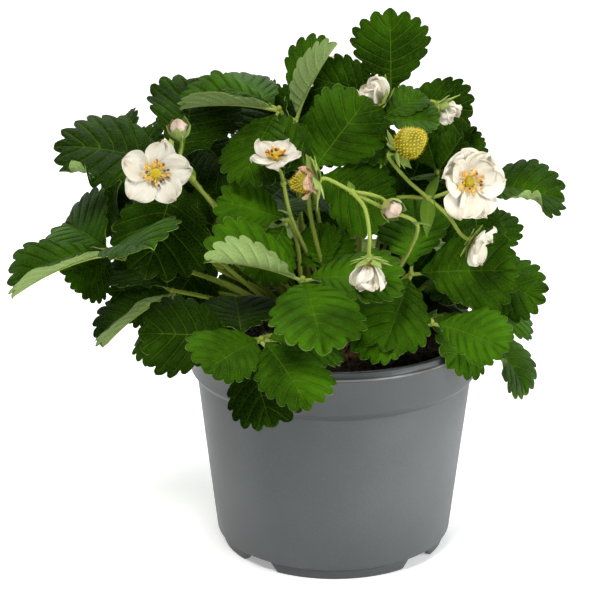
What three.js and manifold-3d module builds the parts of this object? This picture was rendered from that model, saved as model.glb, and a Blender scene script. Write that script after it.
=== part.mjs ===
// A strawberry plant in a round grey nursery pot, in millimetres, +Z up.
// The pot stands on four low feet. Soil fills it, the crown sits in the soil,
// and leaves and flower stalks stand in plain sockets round the crown.
// Directions are in degrees: heading 0 is +X, 90 is +Y, and pitch is up from level.

import * as THREE from "three";
import { mergeVertices } from "three/addons/utils/BufferGeometryUtils.js";
import Module from "manifold-3d";

const wasm = await Module();
wasm.setup();

// Driving dimensions
const gap = 0.3;
const potSides = 36;
const pot = {
  rimRadius: 65,
  rimHeight: 97.5,
  crestHeight: 101,
  lipWidth: 4.4,
  creaseRadius: 60.9,
  creaseHeight: 79.5,
  baseRadius: 52.6,
  baseHeight: 5.2,
  footRadius: 49.8,
  footWidth: 3,
  footNotch: 13,
  notchTurn: 48.5,
  wall: 1.6,
  floor: 1.8,
  holes: 8,
  holeRadius: 3.5,
  holeRing: 36,
};
const soil = { height: 89.5, bump: 1, rings: 3, sides: 24 };
const crown = { radius: 20, height: 97, depth: 76, sides: 12, flat: 6, slope: 0.35 };
const footRings = [
  { radius: 2.5, count: 3, turn: 20, lean: 4 },
  { radius: 6.8, count: 7, turn: 10, lean: 14 },
  { radius: 11.6, count: 10, turn: 0, lean: 26 },
  { radius: 16.4, count: 13, turn: 12, lean: 40 },
  { radius: 14.2, count: 40, turn: 0, lean: 33 },
];
const socketDepth = 6;
const petioleRadius = 1.25;
const petioleSteps = 4;
const petioleArch = { straight: 0.8, along: 0.45, under: 0.25, rise: 0.42, arrive: 0.3 };
const stemSides = 4;
const knobRadius = 1.9;
const bladeThickness = 0.7;

const toRad = THREE.MathUtils.degToRad;
const vec = (x, y, z) => new THREE.Vector3(x, y, z);

// Solids
function toSolid(geometry) {
  const bare = geometry.index ? geometry.toNonIndexed() : geometry.clone();
  bare.deleteAttribute("normal");
  bare.deleteAttribute("uv");
  const merged = mergeVertices(bare, 1e-4);
  const index = Array.from(merged.index.array);
  const faces = [];
  for (let i = 0; i < index.length; i += 3) {
    const [a, b, c] = index.slice(i, i + 3);
    if (a !== b && b !== c && c !== a) faces.push(a, b, c);
  }
  return new wasm.Manifold(new wasm.Mesh({
    numProp: 3,
    vertProperties: new Float32Array(merged.attributes.position.array),
    triVerts: new Uint32Array(faces),
  }));
}

function toGeometry(solid) {
  const mesh = solid.getMesh();
  const geometry = new THREE.BufferGeometry();
  geometry.setAttribute("position", new THREE.BufferAttribute(mesh.vertProperties, 3));
  geometry.setIndex(new THREE.BufferAttribute(mesh.triVerts, 1));
  geometry.computeVertexNormals();
  return geometry;
}

function join(solids) {
  return solids.reduce((whole, next) => whole.add(next));
}

function largestBody(solid) {
  const bodies = solid.decompose();
  return bodies.reduce((best, next) => (next.volume() > best.volume() ? next : best));
}

// A thin blade with the same triangles on both faces
function blade(points, normals, faces, rim, thickness) {
  const half = thickness / 2;
  const positions = [];
  for (const side of [1, -1]) {
    points.forEach((point, i) => {
      const place = point.clone().addScaledVector(normals[i], side * half);
      positions.push(place.x, place.y, place.z);
    });
  }
  const count = points.length;
  const index = [];
  for (const [a, b, c] of faces) {
    index.push(a, b, c);
    index.push(a + count, c + count, b + count);
  }
  rim.forEach((a, i) => {
    const b = rim[(i + 1) % rim.length];
    index.push(a, a + count, b);
    index.push(b, a + count, b + count);
  });
  const geometry = new THREE.BufferGeometry();
  geometry.setAttribute("position", new THREE.Float32BufferAttribute(positions, 3));
  geometry.setIndex(index);
  return toSolid(geometry);
}

// Axes of a leaf or flower: a along it, s to its left, n out of its upper face
function axesOf(heading, pitch, roll) {
  const h = toRad(heading);
  const p = toRad(pitch);
  const a = vec(Math.cos(p) * Math.cos(h), Math.cos(p) * Math.sin(h), Math.sin(p));
  const level = vec(-Math.sin(h), Math.cos(h), 0);
  const s = level.clone().applyAxisAngle(a, toRad(roll));
  return { a, s, n: a.clone().cross(s) };
}

function turned(axes, turn, lift, twist) {
  const t = toRad(turn);
  const flat = axes.a.clone().multiplyScalar(Math.cos(t)).addScaledVector(axes.s, Math.sin(t));
  const left = axes.n.clone().cross(flat);
  const a = flat.clone().multiplyScalar(Math.cos(toRad(lift)));
  a.addScaledVector(axes.n, Math.sin(toRad(lift)));
  const s = left.applyAxisAngle(a, toRad(twist));
  return { a, s, n: a.clone().cross(s) };
}

// Leaflets
const leaflet = {
  halfWidth: 0.44,
  baseHalf: 0.6,
  stalk: 0.08,
  roundness: 0.9,
  toothStart: 0.3,
  toothCount: 3,
  toothDepth: 0.12,
  midrib: [0.36, 0.7],
  wave: 0.018,
  curl: 25,
};

// Place and upward normal of the leaflet's skin, u along the midrib and y out from it
function skin(form, u, y) {
  const droop = toRad(form.droop);
  const start = 0.4 * droop;
  const angle = start - droop * u;
  const arc = form.length / droop;
  const along = arc * (Math.sin(start) - Math.sin(angle));
  const rise = arc * (Math.cos(angle) - Math.cos(start));
  const reach = Math.abs(y);
  const fold = toRad(form.fold) - toRad(form.curl) * (reach / form.length);
  const out = Math.sign(y) * reach * Math.cos(fold);
  const ripple = form.wave * form.length * Math.sin(11 * u + form.phase) * (reach / form.length) * 2;
  const up = reach * Math.sin(fold) + ripple;
  const { a, s, n } = form.axes;
  const tangent = a.clone().multiplyScalar(Math.cos(angle)).addScaledVector(n, Math.sin(angle));
  const normal = n.clone().multiplyScalar(Math.cos(angle)).addScaledVector(a, -Math.sin(angle));
  const place = form.base.clone().addScaledVector(a, along).addScaledVector(n, rise);
  place.addScaledVector(s, out).addScaledVector(normal, up);
  const tilt = y === 0 ? 0 : fold * Math.sign(y);
  const face = normal.clone().applyAxisAngle(tangent, tilt);
  return { place, face };
}

// Half outline from base to tip: a plain edge, then coarse rounded teeth
function halfOutline(form, side) {
  const wide = form.width * (side > 0 ? form.leftShare : form.rightShare);
  const edge = (t) => {
    const phi = Math.PI * t;
    const bulge = Math.sin(phi) * Math.sin(phi / 2) ** leaflet.roundness;
    const u = leaflet.stalk + ((1 - leaflet.stalk) * (1 - Math.cos(phi))) / 2;
    return [u, (wide * bulge) / 0.786];
  };
  const points = [[0, leaflet.baseHalf]];
  const step = (1 - leaflet.toothStart) / (leaflet.toothCount + 0.4);
  for (let k = 0; k < leaflet.toothCount; k++) {
    const t = leaflet.toothStart + k * step;
    const [u, y] = edge(t);
    const cut = 1 - leaflet.toothDepth;
    points.push([0.5 + (u - 0.5) * cut, y * cut]);
    points.push(edge(t + 0.6 * step));
  }
  return points.map(([along, out]) => [along, side * out]);
}

// A blade over an outline: one strip of triangles each side of the midrib
function bladeSolid(form, outlineOf, midrib) {
  const points = [];
  const normals = [];
  const add = (u, y) => {
    const { place, face } = skin(form, u, y);
    points.push(place);
    normals.push(face);
    return points.length - 1;
  };
  const spineStops = [0, ...midrib, 1];
  const spine = spineStops.map((u) => add(u, 0));
  const faces = [];
  const edges = {};
  for (const side of [1, -1]) {
    const outline = outlineOf(form, side);
    const edge = outline.map(([u, y]) => add(u, y));
    edges[side] = edge;
    let i = 0;
    let j = 0;
    const reach = outline.map(([u]) => u);
    while (i < spine.length - 1 || j < edge.length - 1) {
      const nextSpine = i < spine.length - 1 ? spineStops[i + 1] : Infinity;
      const nextEdge = j < edge.length - 1 ? reach[j + 1] : Infinity;
      const stepSpine = nextSpine < nextEdge + 0.04;
      const third = stepSpine ? spine[i + 1] : edge[j + 1];
      const face = [spine[i], third, edge[j]];
      faces.push(side > 0 ? face : [face[0], face[2], face[1]]);
      if (stepSpine) i++;
      else j++;
    }
  }
  const rim = [spine[0], ...edges[-1], spine[spine.length - 1], ...edges[1].reverse()];
  return blade(points, normals, faces, rim, bladeThickness);
}

// Where a stem stands on the crown, and the way it leaves
function footAt(ring, slot) {
  const { radius, count, turn, lean } = footRings[ring];
  const angle = toRad(turn + (slot * 360) / count);
  const out = vec(Math.cos(angle), Math.sin(angle), 0);
  const rise = vec(0, 0, 1).multiplyScalar(Math.cos(toRad(lean)));
  const way = out.clone().multiplyScalar(Math.sin(toRad(lean))).add(rise);
  const drop = crown.height - crown.slope * Math.max(0, radius - crown.flat);
  const top = out.multiplyScalar(radius).setZ(drop);
  return { top, way, bottom: top.clone().addScaledVector(way, -socketDepth) };
}

// A petiole curve from its socket to the leaf, coming up under it
function petioleCurve(row, axes) {
  const foot = footAt(row.ring, row.slot);
  const tip = vec(...row.tip);
  const span = tip.distanceTo(foot.top);
  const end = tip.clone().sub(foot.top).normalize().multiplyScalar(petioleArch.straight);
  end.addScaledVector(axes.a, petioleArch.along).addScaledVector(axes.n, petioleArch.under).normalize();
  const leave = foot.top.clone().addScaledVector(foot.way, petioleArch.rise * span);
  const arrive = tip.clone().addScaledVector(end, -petioleArch.arrive * span);
  return new THREE.CubicBezierCurve3(foot.bottom, leave, arrive, tip);
}

function sweep(curve, radius, sides, steps) {
  const section = new THREE.Shape();
  for (let i = 0; i < sides; i++) {
    const angle = (2 * Math.PI * i) / sides;
    const x = radius * Math.cos(angle);
    const y = radius * Math.sin(angle);
    if (i === 0) section.moveTo(x, y);
    else section.lineTo(x, y);
  }
  section.closePath();
  const options = { steps, bevelEnabled: false, extrudePath: curve };
  return toSolid(new THREE.ExtrudeGeometry(section, options));
}

// The socket for a stem: a plain straight hole one gap clear of the stem's lower end
function socketOf(curve, radius, steps) {
  const [foot, next] = curve.getSpacedPoints(steps);
  const way = next.clone().sub(foot).normalize();
  const low = foot.clone().addScaledVector(way, -gap);
  const high = foot.clone().addScaledVector(way, 3 * socketDepth);
  return rodSolid(low, high, (radius + gap) / Math.cos(Math.PI / 5), 5);
}

function rodSolid(low, high, radius, sides) {
  const rod = new THREE.CylinderGeometry(radius, radius, low.distanceTo(high), sides);
  const way = high.clone().sub(low).normalize();
  rod.applyQuaternion(new THREE.Quaternion().setFromUnitVectors(vec(0, 1, 0), way));
  const middle = low.clone().add(high).multiplyScalar(0.5);
  rod.translate(middle.x, middle.y, middle.z);
  return toSolid(rod);
}

// A small knob where stems meet, which the roots of the blades are sunk in
function knobSolid(centre, radius) {
  const knob = new THREE.OctahedronGeometry(radius);
  knob.translate(centre.x, centre.y, centre.z);
  return toSolid(knob);
}

// Leaves: tip is where the three leaflets meet, left and right are turn, lift and twist
const leafRows = [
  { name: "leaf_left_high", ring: 2, slot: 5, tip: [-66, -17, 176], heading: 180, pitch: 13, roll: -28,
    size: 54, droop: 30, fold: 8, left: [84, -27, 0, 8], right: [88, 13, 0, 8] },
  { name: "leaf_left_mid", ring: 3, slot: 6, tip: [-94, -38, 146], heading: 192, pitch: -19, roll: 0,
    size: 46, droop: 30, fold: 38, left: [112, 14, 0, 15], right: [70, 12, 20, 25] },
  { name: "leaf_left_low", ring: 3, slot: 7, tip: [-70, -18, 122], heading: 188, pitch: -36, roll: 0,
    size: 40, droop: 25, fold: 40, left: [50, -20, 0, 20], right: [60, 32, 0, 25] },
  { name: "leaf_front_left", ring: 3, slot: 8, tip: [-39, -60, 115], heading: 180, pitch: 4, roll: -45,
    size: 43, droop: 20, fold: 6, left: [112, -8, 0, 8], right: [82, -35, 0, 8] },
  { name: "leaf_front_rim", ring: 3, slot: 9, tip: [-31, -68, 118], heading: -55, pitch: -28, roll: 0,
    size: 40, droop: 25, fold: 14, left: [70, -5, 0, 12], right: [72, 5, 0, 12] },
  { name: "leaf_front_mid", ring: 2, slot: 7, tip: [-14, -50, 138], heading: -78, pitch: -22, roll: 0,
    size: 46, droop: 30, fold: 20, left: [72, 8, 0, 10], right: [98, 14, 0, 42] },
  { name: "leaf_front_right", ring: 3, slot: 11, tip: [40, -47, 118], heading: -165, pitch: -4, roll: -38,
    size: 38, droop: 20, fold: 8, left: [138, 12, 0, 10], right: [62, -66, 0, 10] },
  { name: "leaf_right_rim", ring: 3, slot: 12, tip: [63, -16, 109], heading: -24, pitch: -54, roll: 2,
    size: 40, droop: 15, fold: 15, left: [71, 5, 0, 15], right: [77, -9, 0, 15] },
  { name: "leaf_right_front", ring: 2, slot: 9, tip: [32, -31, 134], heading: 0, pitch: 2, roll: 50,
    size: 46, droop: 20, fold: 10, left: [85, -16, 0, 8], right: [109, 17, 0, 8] },
  { name: "leaf_right_low", ring: 3, slot: 0, tip: [56, 6, 125], heading: -14, pitch: -19, roll: 35,
    size: 40, droop: 25, fold: 10, left: [76, 7, 0, 10], right: [74, 29, 0, 10] },
  { name: "leaf_right_mid", ring: 2, slot: 0, tip: [59, 1, 163], heading: 0, pitch: -6, roll: 25,
    size: 42, droop: 30, fold: 20, left: [112, -30, 0, 12], right: [70, -50, 0, 10] },
  { name: "leaf_top_right", ring: 1, slot: 1, tip: [25, 26, 195], heading: 95, pitch: 78, roll: 0,
    size: 40, droop: 5, fold: 8, left: [72, 0, 0, 8], right: [98, 0, 0, 8] },
  { name: "leaf_top_mid", ring: 1, slot: 3, tip: [-18, 19, 188], heading: 8, pitch: 63, roll: 0,
    size: 39, droop: 20, fold: 58, left: [100, 16, 0, 20], right: [78, -33, 0, 20] },
  { name: "leaf_top_left", ring: 0, slot: 1, tip: [-24, -4, 199], heading: 177, pitch: 2, roll: -2,
    size: 43, droop: 25, fold: 40, left: [61, -42, 0, 15], right: [42, 10, 0, 10] },
  { name: "leaf_centre", ring: 1, slot: 5, tip: [-11, -29, 177], heading: 30, pitch: 46, roll: 50,
    size: 42, droop: 15, fold: 8, left: [85, -25, 0, 8], right: [72, -14, 0, 8] },
  { name: "leaf_inner_right", ring: 1, slot: 0, tip: [18, -4, 194], heading: -14, pitch: 2, roll: 22,
    size: 27, droop: 20, fold: 15, left: [42, 5, 0, 15], right: [74, -13, 0, 15] },
  { name: "leaf_inner_left", ring: 2, slot: 6, tip: [-20, -26, 156], heading: 172, pitch: 15, roll: -45,
    size: 32, droop: 15, fold: 10, left: [75, -25, 0, 10], right: [70, -45, 0, 10] },
  { name: "leaf_back_left_high", ring: 2, slot: 4, tip: [-52, 42, 162], heading: 140, pitch: -15, roll: 0,
    size: 42, droop: 30, fold: 12, left: [75, 5, 0, 12], right: [75, 5, 0, 12] },
  { name: "leaf_back_high", ring: 2, slot: 3, tip: [-6, 66, 148], heading: 98, pitch: -20, roll: 0,
    size: 42, droop: 30, fold: 12, left: [75, 5, 0, 12], right: [75, 5, 0, 12] },
  { name: "leaf_back_right_high", ring: 2, slot: 1, tip: [32, 63, 160], heading: 50, pitch: -15, roll: 0,
    size: 42, droop: 30, fold: 12, left: [75, 5, 0, 12], right: [66, 8, 0, 12] },
  { name: "leaf_back_right", ring: 3, slot: 1, tip: [60, 42, 122], heading: 24, pitch: -35, roll: 0,
    size: 38, droop: 30, fold: 12, left: [75, 5, 0, 12], right: [58, 0, 0, 12] },
  { name: "leaf_back_left", ring: 3, slot: 5, tip: [-76, 36, 126], heading: 160, pitch: -30, roll: 0,
    size: 40, droop: 30, fold: 12, left: [70, 5, 0, 12], right: [70, 5, 0, 12] },
  { name: "leaf_back_low", ring: 3, slot: 2, tip: [18, 77, 116], heading: 76, pitch: -40, roll: 0,
    size: 42, droop: 30, fold: 12, left: [72, -5, 0, 12], right: [75, 5, 0, 12] },
  { name: "leaf_back_low_left", ring: 3, slot: 4, tip: [-36, 82, 118], heading: 112, pitch: -42, roll: 0,
    size: 40, droop: 30, fold: 12, left: [70, 0, 0, 12], right: [75, 5, 0, 12] },
  { name: "leaf_behind_left", ring: 1, slot: 2, tip: [-62, 27, 179], heading: 19, pitch: 28, roll: 30,
    size: 37, droop: 25, fold: 9, left: [76, -24, 0, 12], right: [82, -1, 0, 12] },
  { name: "leaf_behind_right", ring: 4, slot: 6, tip: [39, 48, 155], heading: 284, pitch: -25, roll: -11,
    size: 41, droop: 25, fold: 12, left: [99, -28, 0, 12], right: [80, -3, 0, 12] },
  { name: "leaf_side_left", ring: 4, slot: 22, tip: [-56, 20, 129], heading: 168, pitch: 39, roll: -28,
    size: 44, droop: 25, fold: 21, left: [96, -3, 0, 12], right: [88, -20, 0, 12] },
  { name: "leaf_behind_middle", ring: 2, slot: 2, tip: [-20, 33, 156], heading: 243, pitch: -11, roll: -23,
    size: 37, droop: 25, fold: 18, left: [87, 9, 0, 12], right: [97, 16, 0, 12] },
  { name: "leaf_far_left", ring: 4, slot: 18, tip: [-94, 24, 162], heading: 93, pitch: 41, roll: -45,
    size: 33, droop: 25, fold: 20, left: [109, -27, 0, 12], right: [81, 7, 0, 12] },
];
const lateralSize = 0.93;

function leafletSolid(form) {
  return bladeSolid(form, halfOutline, leaflet.midrib);
}

function leafletForm(base, axes, length, row, shares, fold) {
  return {
    base,
    axes,
    length,
    width: length * leaflet.halfWidth,
    leftShare: shares[0],
    rightShare: shares[1],
    droop: row.droop,
    fold,
    curl: leaflet.curl,
    wave: leaflet.wave,
    phase: row.tip[0],
  };
}

function buildLeaf(row) {
  const axes = axesOf(row.heading, row.pitch, row.roll);
  const curve = petioleCurve(row, axes);
  const stem = sweep(curve, petioleRadius, stemSides, petioleSteps);
  const base = vec(...row.tip);
  const leftAxes = turned(axes, row.left[0], row.left[1], row.left[2]);
  const rightAxes = turned(axes, -row.right[0], row.right[1], -row.right[2]);
  const solids = [
    stem,
    knobSolid(base, knobRadius),
    leafletSolid(leafletForm(base, axes, row.size, row, [1, 1], row.fold)),
    leafletSolid(leafletForm(base, leftAxes, row.size * lateralSize, row, [1.08, 0.86], row.left[3])),
    leafletSolid(leafletForm(base, rightAxes, row.size * lateralSize, row, [0.86, 1.08], row.right[3])),
  ];
  return { solid: largestBody(join(solids)), socket: socketOf(curve, petioleRadius, petioleSteps) };
}

// Pot: a lathed wall with a collar and a rolled lip, holes in its raised floor, four low feet
function lathe(points, sides) {
  const profile = points.map(([x, y]) => new THREE.Vector2(x, y));
  const geometry = new THREE.LatheGeometry(profile, sides);
  geometry.rotateX(Math.PI / 2);
  return geometry;
}

function wallRadius(height) {
  const share = (height - pot.baseHeight) / (pot.creaseHeight - pot.baseHeight);
  return pot.baseRadius + share * (pot.creaseRadius - pot.baseRadius);
}

function boreSolid(x, y, radius, low, high, sides) {
  const cylinder = new THREE.CylinderGeometry(radius, radius, high - low, sides);
  cylinder.rotateX(Math.PI / 2);
  cylinder.translate(x, y, (low + high) / 2);
  return toSolid(cylinder);
}

function buildPot() {
  const { rimRadius, rimHeight, crestHeight, creaseHeight, baseRadius, baseHeight, wall } = pot;
  const floorTop = baseHeight + pot.floor;
  const lipInner = rimRadius - pot.lipWidth;
  const collarInner = rimRadius - 2.1 * wall;
  const profile = [
    [0, baseHeight],
    [pot.footRadius - pot.footWidth, baseHeight],
    [pot.footRadius - pot.footWidth, 0],
    [pot.footRadius, 0],
    [pot.footRadius + 0.6, baseHeight],
    [baseRadius, baseHeight + 0.8],
    [pot.creaseRadius, creaseHeight],
    [pot.creaseRadius + 1.9, creaseHeight + 1],
    [rimRadius - 1.6, creaseHeight + 4],
    [rimRadius, rimHeight],
    [rimRadius - 0.8, rimHeight + 0.5],
    [rimRadius - 2.6, crestHeight],
    [lipInner, crestHeight - 2],
    [collarInner, rimHeight - 1],
    [pot.creaseRadius - wall, creaseHeight],
    [wallRadius(floorTop) - wall, floorTop],
    [0, floorTop],
  ];
  const holes = [boreSolid(0, 0, pot.holeRadius, baseHeight - 1, floorTop + 1, 6)];
  for (let i = 0; i < pot.holes; i++) {
    const angle = (2 * Math.PI * i) / pot.holes;
    const x = pot.holeRing * Math.cos(angle);
    const y = pot.holeRing * Math.sin(angle);
    holes.push(boreSolid(x, y, pot.holeRadius, baseHeight - 1, floorTop + 1, 6));
  }
  for (let i = 0; i < 4; i++) {
    holes.push(notchSolid(toRad(pot.notchTurn - 90 + 90 * i)));
  }
  return toSolid(lathe(profile, potSides)).subtract(join(holes));
}

// The gap between two feet, wider at the floor than at the pot's underside
function notchSolid(angle) {
  const half = pot.footRadius * Math.tan(toRad(pot.footNotch / 2));
  const outline = new THREE.Shape();
  outline.moveTo(-half - 2, -1);
  outline.lineTo(half + 2, -1);
  outline.lineTo(half, pot.baseHeight);
  outline.lineTo(-half, pot.baseHeight);
  outline.closePath();
  const block = new THREE.ExtrudeGeometry(outline, { depth: 8, bevelEnabled: false });
  block.rotateX(Math.PI / 2);
  block.translate(0, pot.footRadius + 3, 0);
  block.rotateZ(angle - Math.PI / 2);
  return toSolid(block);
}

// Soil: a filling one gap clear of the wall, lumpy on top, with a plain hole for the crown
function lumps(x, y) {
  return Math.sin(0.31 * x + 1.3) * Math.cos(0.27 * y) + 0.6 * Math.sin(0.7 * x + 0.5 * y);
}

function buildSoil() {
  const { creaseHeight, creaseRadius, baseHeight, wall, rimRadius } = pot;
  const bottom = baseHeight + pot.floor + gap;
  const collarInner = rimRadius - 2.1 * wall - 1.2;
  const profile = [
    [0, bottom],
    [wallRadius(bottom) - wall - gap, bottom],
    [creaseRadius - wall - 2 * gap, creaseHeight],
    [collarInner - gap, soil.height],
  ];
  const top = collarInner - 3;
  for (let i = 0; i < soil.rings; i++) {
    profile.push([top * (1 - i / soil.rings), soil.height]);
  }
  profile.push([0, soil.height]);
  const geometry = lathe(profile, soil.sides);
  const position = geometry.attributes.position;
  for (let i = 0; i < position.count; i++) {
    const x = position.getX(i);
    const y = position.getY(i);
    const inside = Math.hypot(x, y) < top + 0.1;
    if (inside && position.getZ(i) > soil.height - 0.1) {
      position.setZ(i, soil.height + soil.bump * lumps(x, y));
    }
  }
  return toSolid(geometry).subtract(crownBody(gap));
}

// Crown: the short woody stock that every stem grows from
function crownBody(extra) {
  const { radius, height, depth } = crown;
  const profile = [
    [0, depth - extra],
    [radius * 0.5 + extra, depth - extra],
    [radius + extra, height - 6.5],
    [radius * 0.6 + extra, height - 1.2],
    [0, height + extra],
  ];
  return toSolid(lathe(profile, crown.sides));
}

// Petals: one ring of lobes, each with one edge lifted over its neighbour
const petalCount = 5;

function petalsSolid(flower) {
  const axes = axesOf(flower.facing[0], flower.facing[1], flower.turn);
  const centre = vec(...flower.at);
  const count = petalCount;
  const share = 360 / count;
  const points = [centre.clone()];
  const normals = [axes.a.clone()];
  const add = (turn, reach, lift) => {
    const way = petalAxes(axes, turn, flower.open);
    const radius = reach * flower.size;
    const bend = flower.size * (0.2 * reach * reach + lift);
    const place = centre.clone().addScaledVector(way.a, radius).addScaledVector(way.n, bend);
    points.push(place);
    normals.push(way.n.clone());
    return points.length - 1;
  };
  const inner = [];
  for (let i = 0; i < 2 * count; i++) inner.push(add((i * share) / 2, 0.2, 0));
  const faces = [];
  const rim = [];
  for (let k = 0; k < count; k++) {
    const middle = k * share;
    const notch = add(middle - share / 2, 0.46, 0);
    const lobe = [
      add(middle - 0.36 * share, 0.88, -0.05),
      add(middle - 0.15 * share, 1, 0),
      add(middle + 0.15 * share, 1, 0.04),
      add(middle + 0.36 * share, 0.88, 0.08),
    ];
    rim.push(notch, ...lobe);
  }
  for (let k = 0; k < count; k++) {
    const [notch, a, b, c, d] = rim.slice(5 * k, 5 * k + 5);
    const nextNotch = rim[(5 * k + 5) % rim.length];
    const before = inner[(2 * k - 1 + 2 * count) % (2 * count)];
    const root = inner[2 * k];
    const after = inner[(2 * k + 1) % (2 * count)];
    faces.push([0, before, root], [0, root, after]);
    faces.push([before, notch, a], [before, a, root], [root, a, b], [root, b, c]);
    faces.push([root, c, d], [root, d, after], [after, d, nextNotch]);
  }
  return blade(points, normals, faces, rim, bladeThickness);
}

// Axes of a petal or sepal that stands at an angle out of the flower's own axis
function petalAxes(axes, turn, open) {
  const t = toRad(turn);
  const out = axes.s.clone().multiplyScalar(Math.cos(t)).addScaledVector(axes.n, Math.sin(t));
  const side = axes.a.clone().cross(out);
  const a = out.clone().multiplyScalar(Math.sin(toRad(open)));
  a.addScaledVector(axes.a, Math.cos(toRad(open)));
  return { a, s: side, n: a.clone().cross(side) };
}

// A green star of five sepals, tilted up round a bloom or spread behind a berry
function calyxSolid(centre, axes, reach, open) {
  const points = [centre.clone()];
  const normals = [axes.a.clone()];
  const spokes = 10;
  for (let i = 0; i < spokes; i++) {
    const radius = i % 2 === 0 ? reach : 0.4 * reach;
    const way = petalAxes(axes, (360 * i) / spokes, open);
    points.push(centre.clone().addScaledVector(way.a, radius));
    normals.push(way.n.clone());
  }
  const faces = [];
  for (let i = 0; i < spokes; i++) faces.push([0, 1 + i, 1 + ((i + 1) % spokes)]);
  const rim = faces.map((face) => face[1]);
  return blade(points, normals, faces, rim, bladeThickness);
}

// Blooms less open than this hide their middle
const halfOpen = 45;

// Yellow middle: a low dome inside a ring of stamens, drawn as a star of spikes
function middleSolid(flower) {
  const axes = axesOf(flower.facing[0], flower.facing[1], flower.turn);
  const centre = vec(...flower.at).addScaledVector(axes.a, bladeThickness / 2 + gap);
  const radius = flower.size * 0.24;
  const spikes = 9;
  const points = [centre.clone().addScaledVector(axes.a, 0.95 * radius), centre];
  for (const ring of [0, 1]) {
    for (let i = 0; i < 2 * spikes; i++) {
      const out = petalAxes(axes, (180 * i) / spikes, 90).a;
      const spike = i % 2 === 0;
      const reach = ring === 0 ? 0.55 * radius : radius * (spike ? 1.45 : 0.7);
      const rise = ring === 0 ? 0.8 * radius : radius * (spike ? 0.8 : 0.3);
      points.push(centre.clone().addScaledVector(out, reach).addScaledVector(axes.a, rise));
    }
  }
  const index = [];
  for (let i = 0; i < 2 * spikes; i++) {
    const next = (i + 1) % (2 * spikes);
    const [a, b] = [2 + i, 2 + next];
    const [c, d] = [a + 2 * spikes, b + 2 * spikes];
    index.push(0, a, b, a, c, b, b, c, d, 1, d, c);
  }
  const geometry = new THREE.BufferGeometry();
  const positions = points.flatMap((point) => point.toArray());
  geometry.setAttribute("position", new THREE.Float32BufferAttribute(positions, 3));
  geometry.setIndex(index);
  return toSolid(geometry);
}

// A young berry: an egg whose skin rises to a seed at every second point
function berrySolid(berry) {
  const axes = axesOf(berry.facing[0], berry.facing[1], 0);
  const base = vec(...berry.at).addScaledVector(axes.a, -bladeThickness / 2);
  const { radius, length } = berry;
  const rings = 8;
  const sides = 12;
  const profile = [];
  for (let i = 0; i <= rings; i++) {
    const t = i / rings;
    const end = i === 0 || i === rings;
    profile.push([end ? 0 : radius * Math.sin(Math.PI * t) ** 0.75 * (1.12 - 0.42 * t), length * t]);
  }
  const body = lathe(profile, sides);
  const position = body.attributes.position;
  for (let i = 0; i < position.count; i++) {
    const ring = i % (rings + 1);
    const side = Math.floor(i / (rings + 1));
    const swell = (ring + side) % 2 === 0 ? 1.08 : 0.95;
    position.setXY(i, position.getX(i) * swell, position.getY(i) * swell);
  }
  body.applyQuaternion(new THREE.Quaternion().setFromUnitVectors(vec(0, 0, 1), axes.a));
  body.translate(base.x, base.y, base.z);
  return toSolid(body);
}

// A closed bud: petals wrapped round each other as a ribbed egg
function budSolid(bud) {
  const axes = axesOf(bud.facing[0], bud.facing[1], 0);
  const base = vec(...bud.at).addScaledVector(axes.a, -bladeThickness / 2);
  const profile = [];
  const rings = 5;
  for (let i = 0; i <= rings; i++) {
    const t = i / rings;
    const wide = i === 0 || i === rings ? 0 : bud.radius * Math.sin(Math.PI * t ** 0.8) ** 0.7;
    profile.push([wide, bud.length * t]);
  }
  const body = lathe(profile, 8);
  const position = body.attributes.position;
  for (let i = 0; i < position.count; i++) {
    const x = position.getX(i);
    const y = position.getY(i);
    const rib = 1 + 0.12 * Math.cos(4 * Math.atan2(y, x) + 0.5 * position.getZ(i));
    position.setXY(i, x * rib, y * rib);
  }
  body.applyQuaternion(new THREE.Quaternion().setFromUnitVectors(vec(0, 0, 1), axes.a));
  body.translate(base.x, base.y, base.z);
  return toSolid(body);
}

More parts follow.
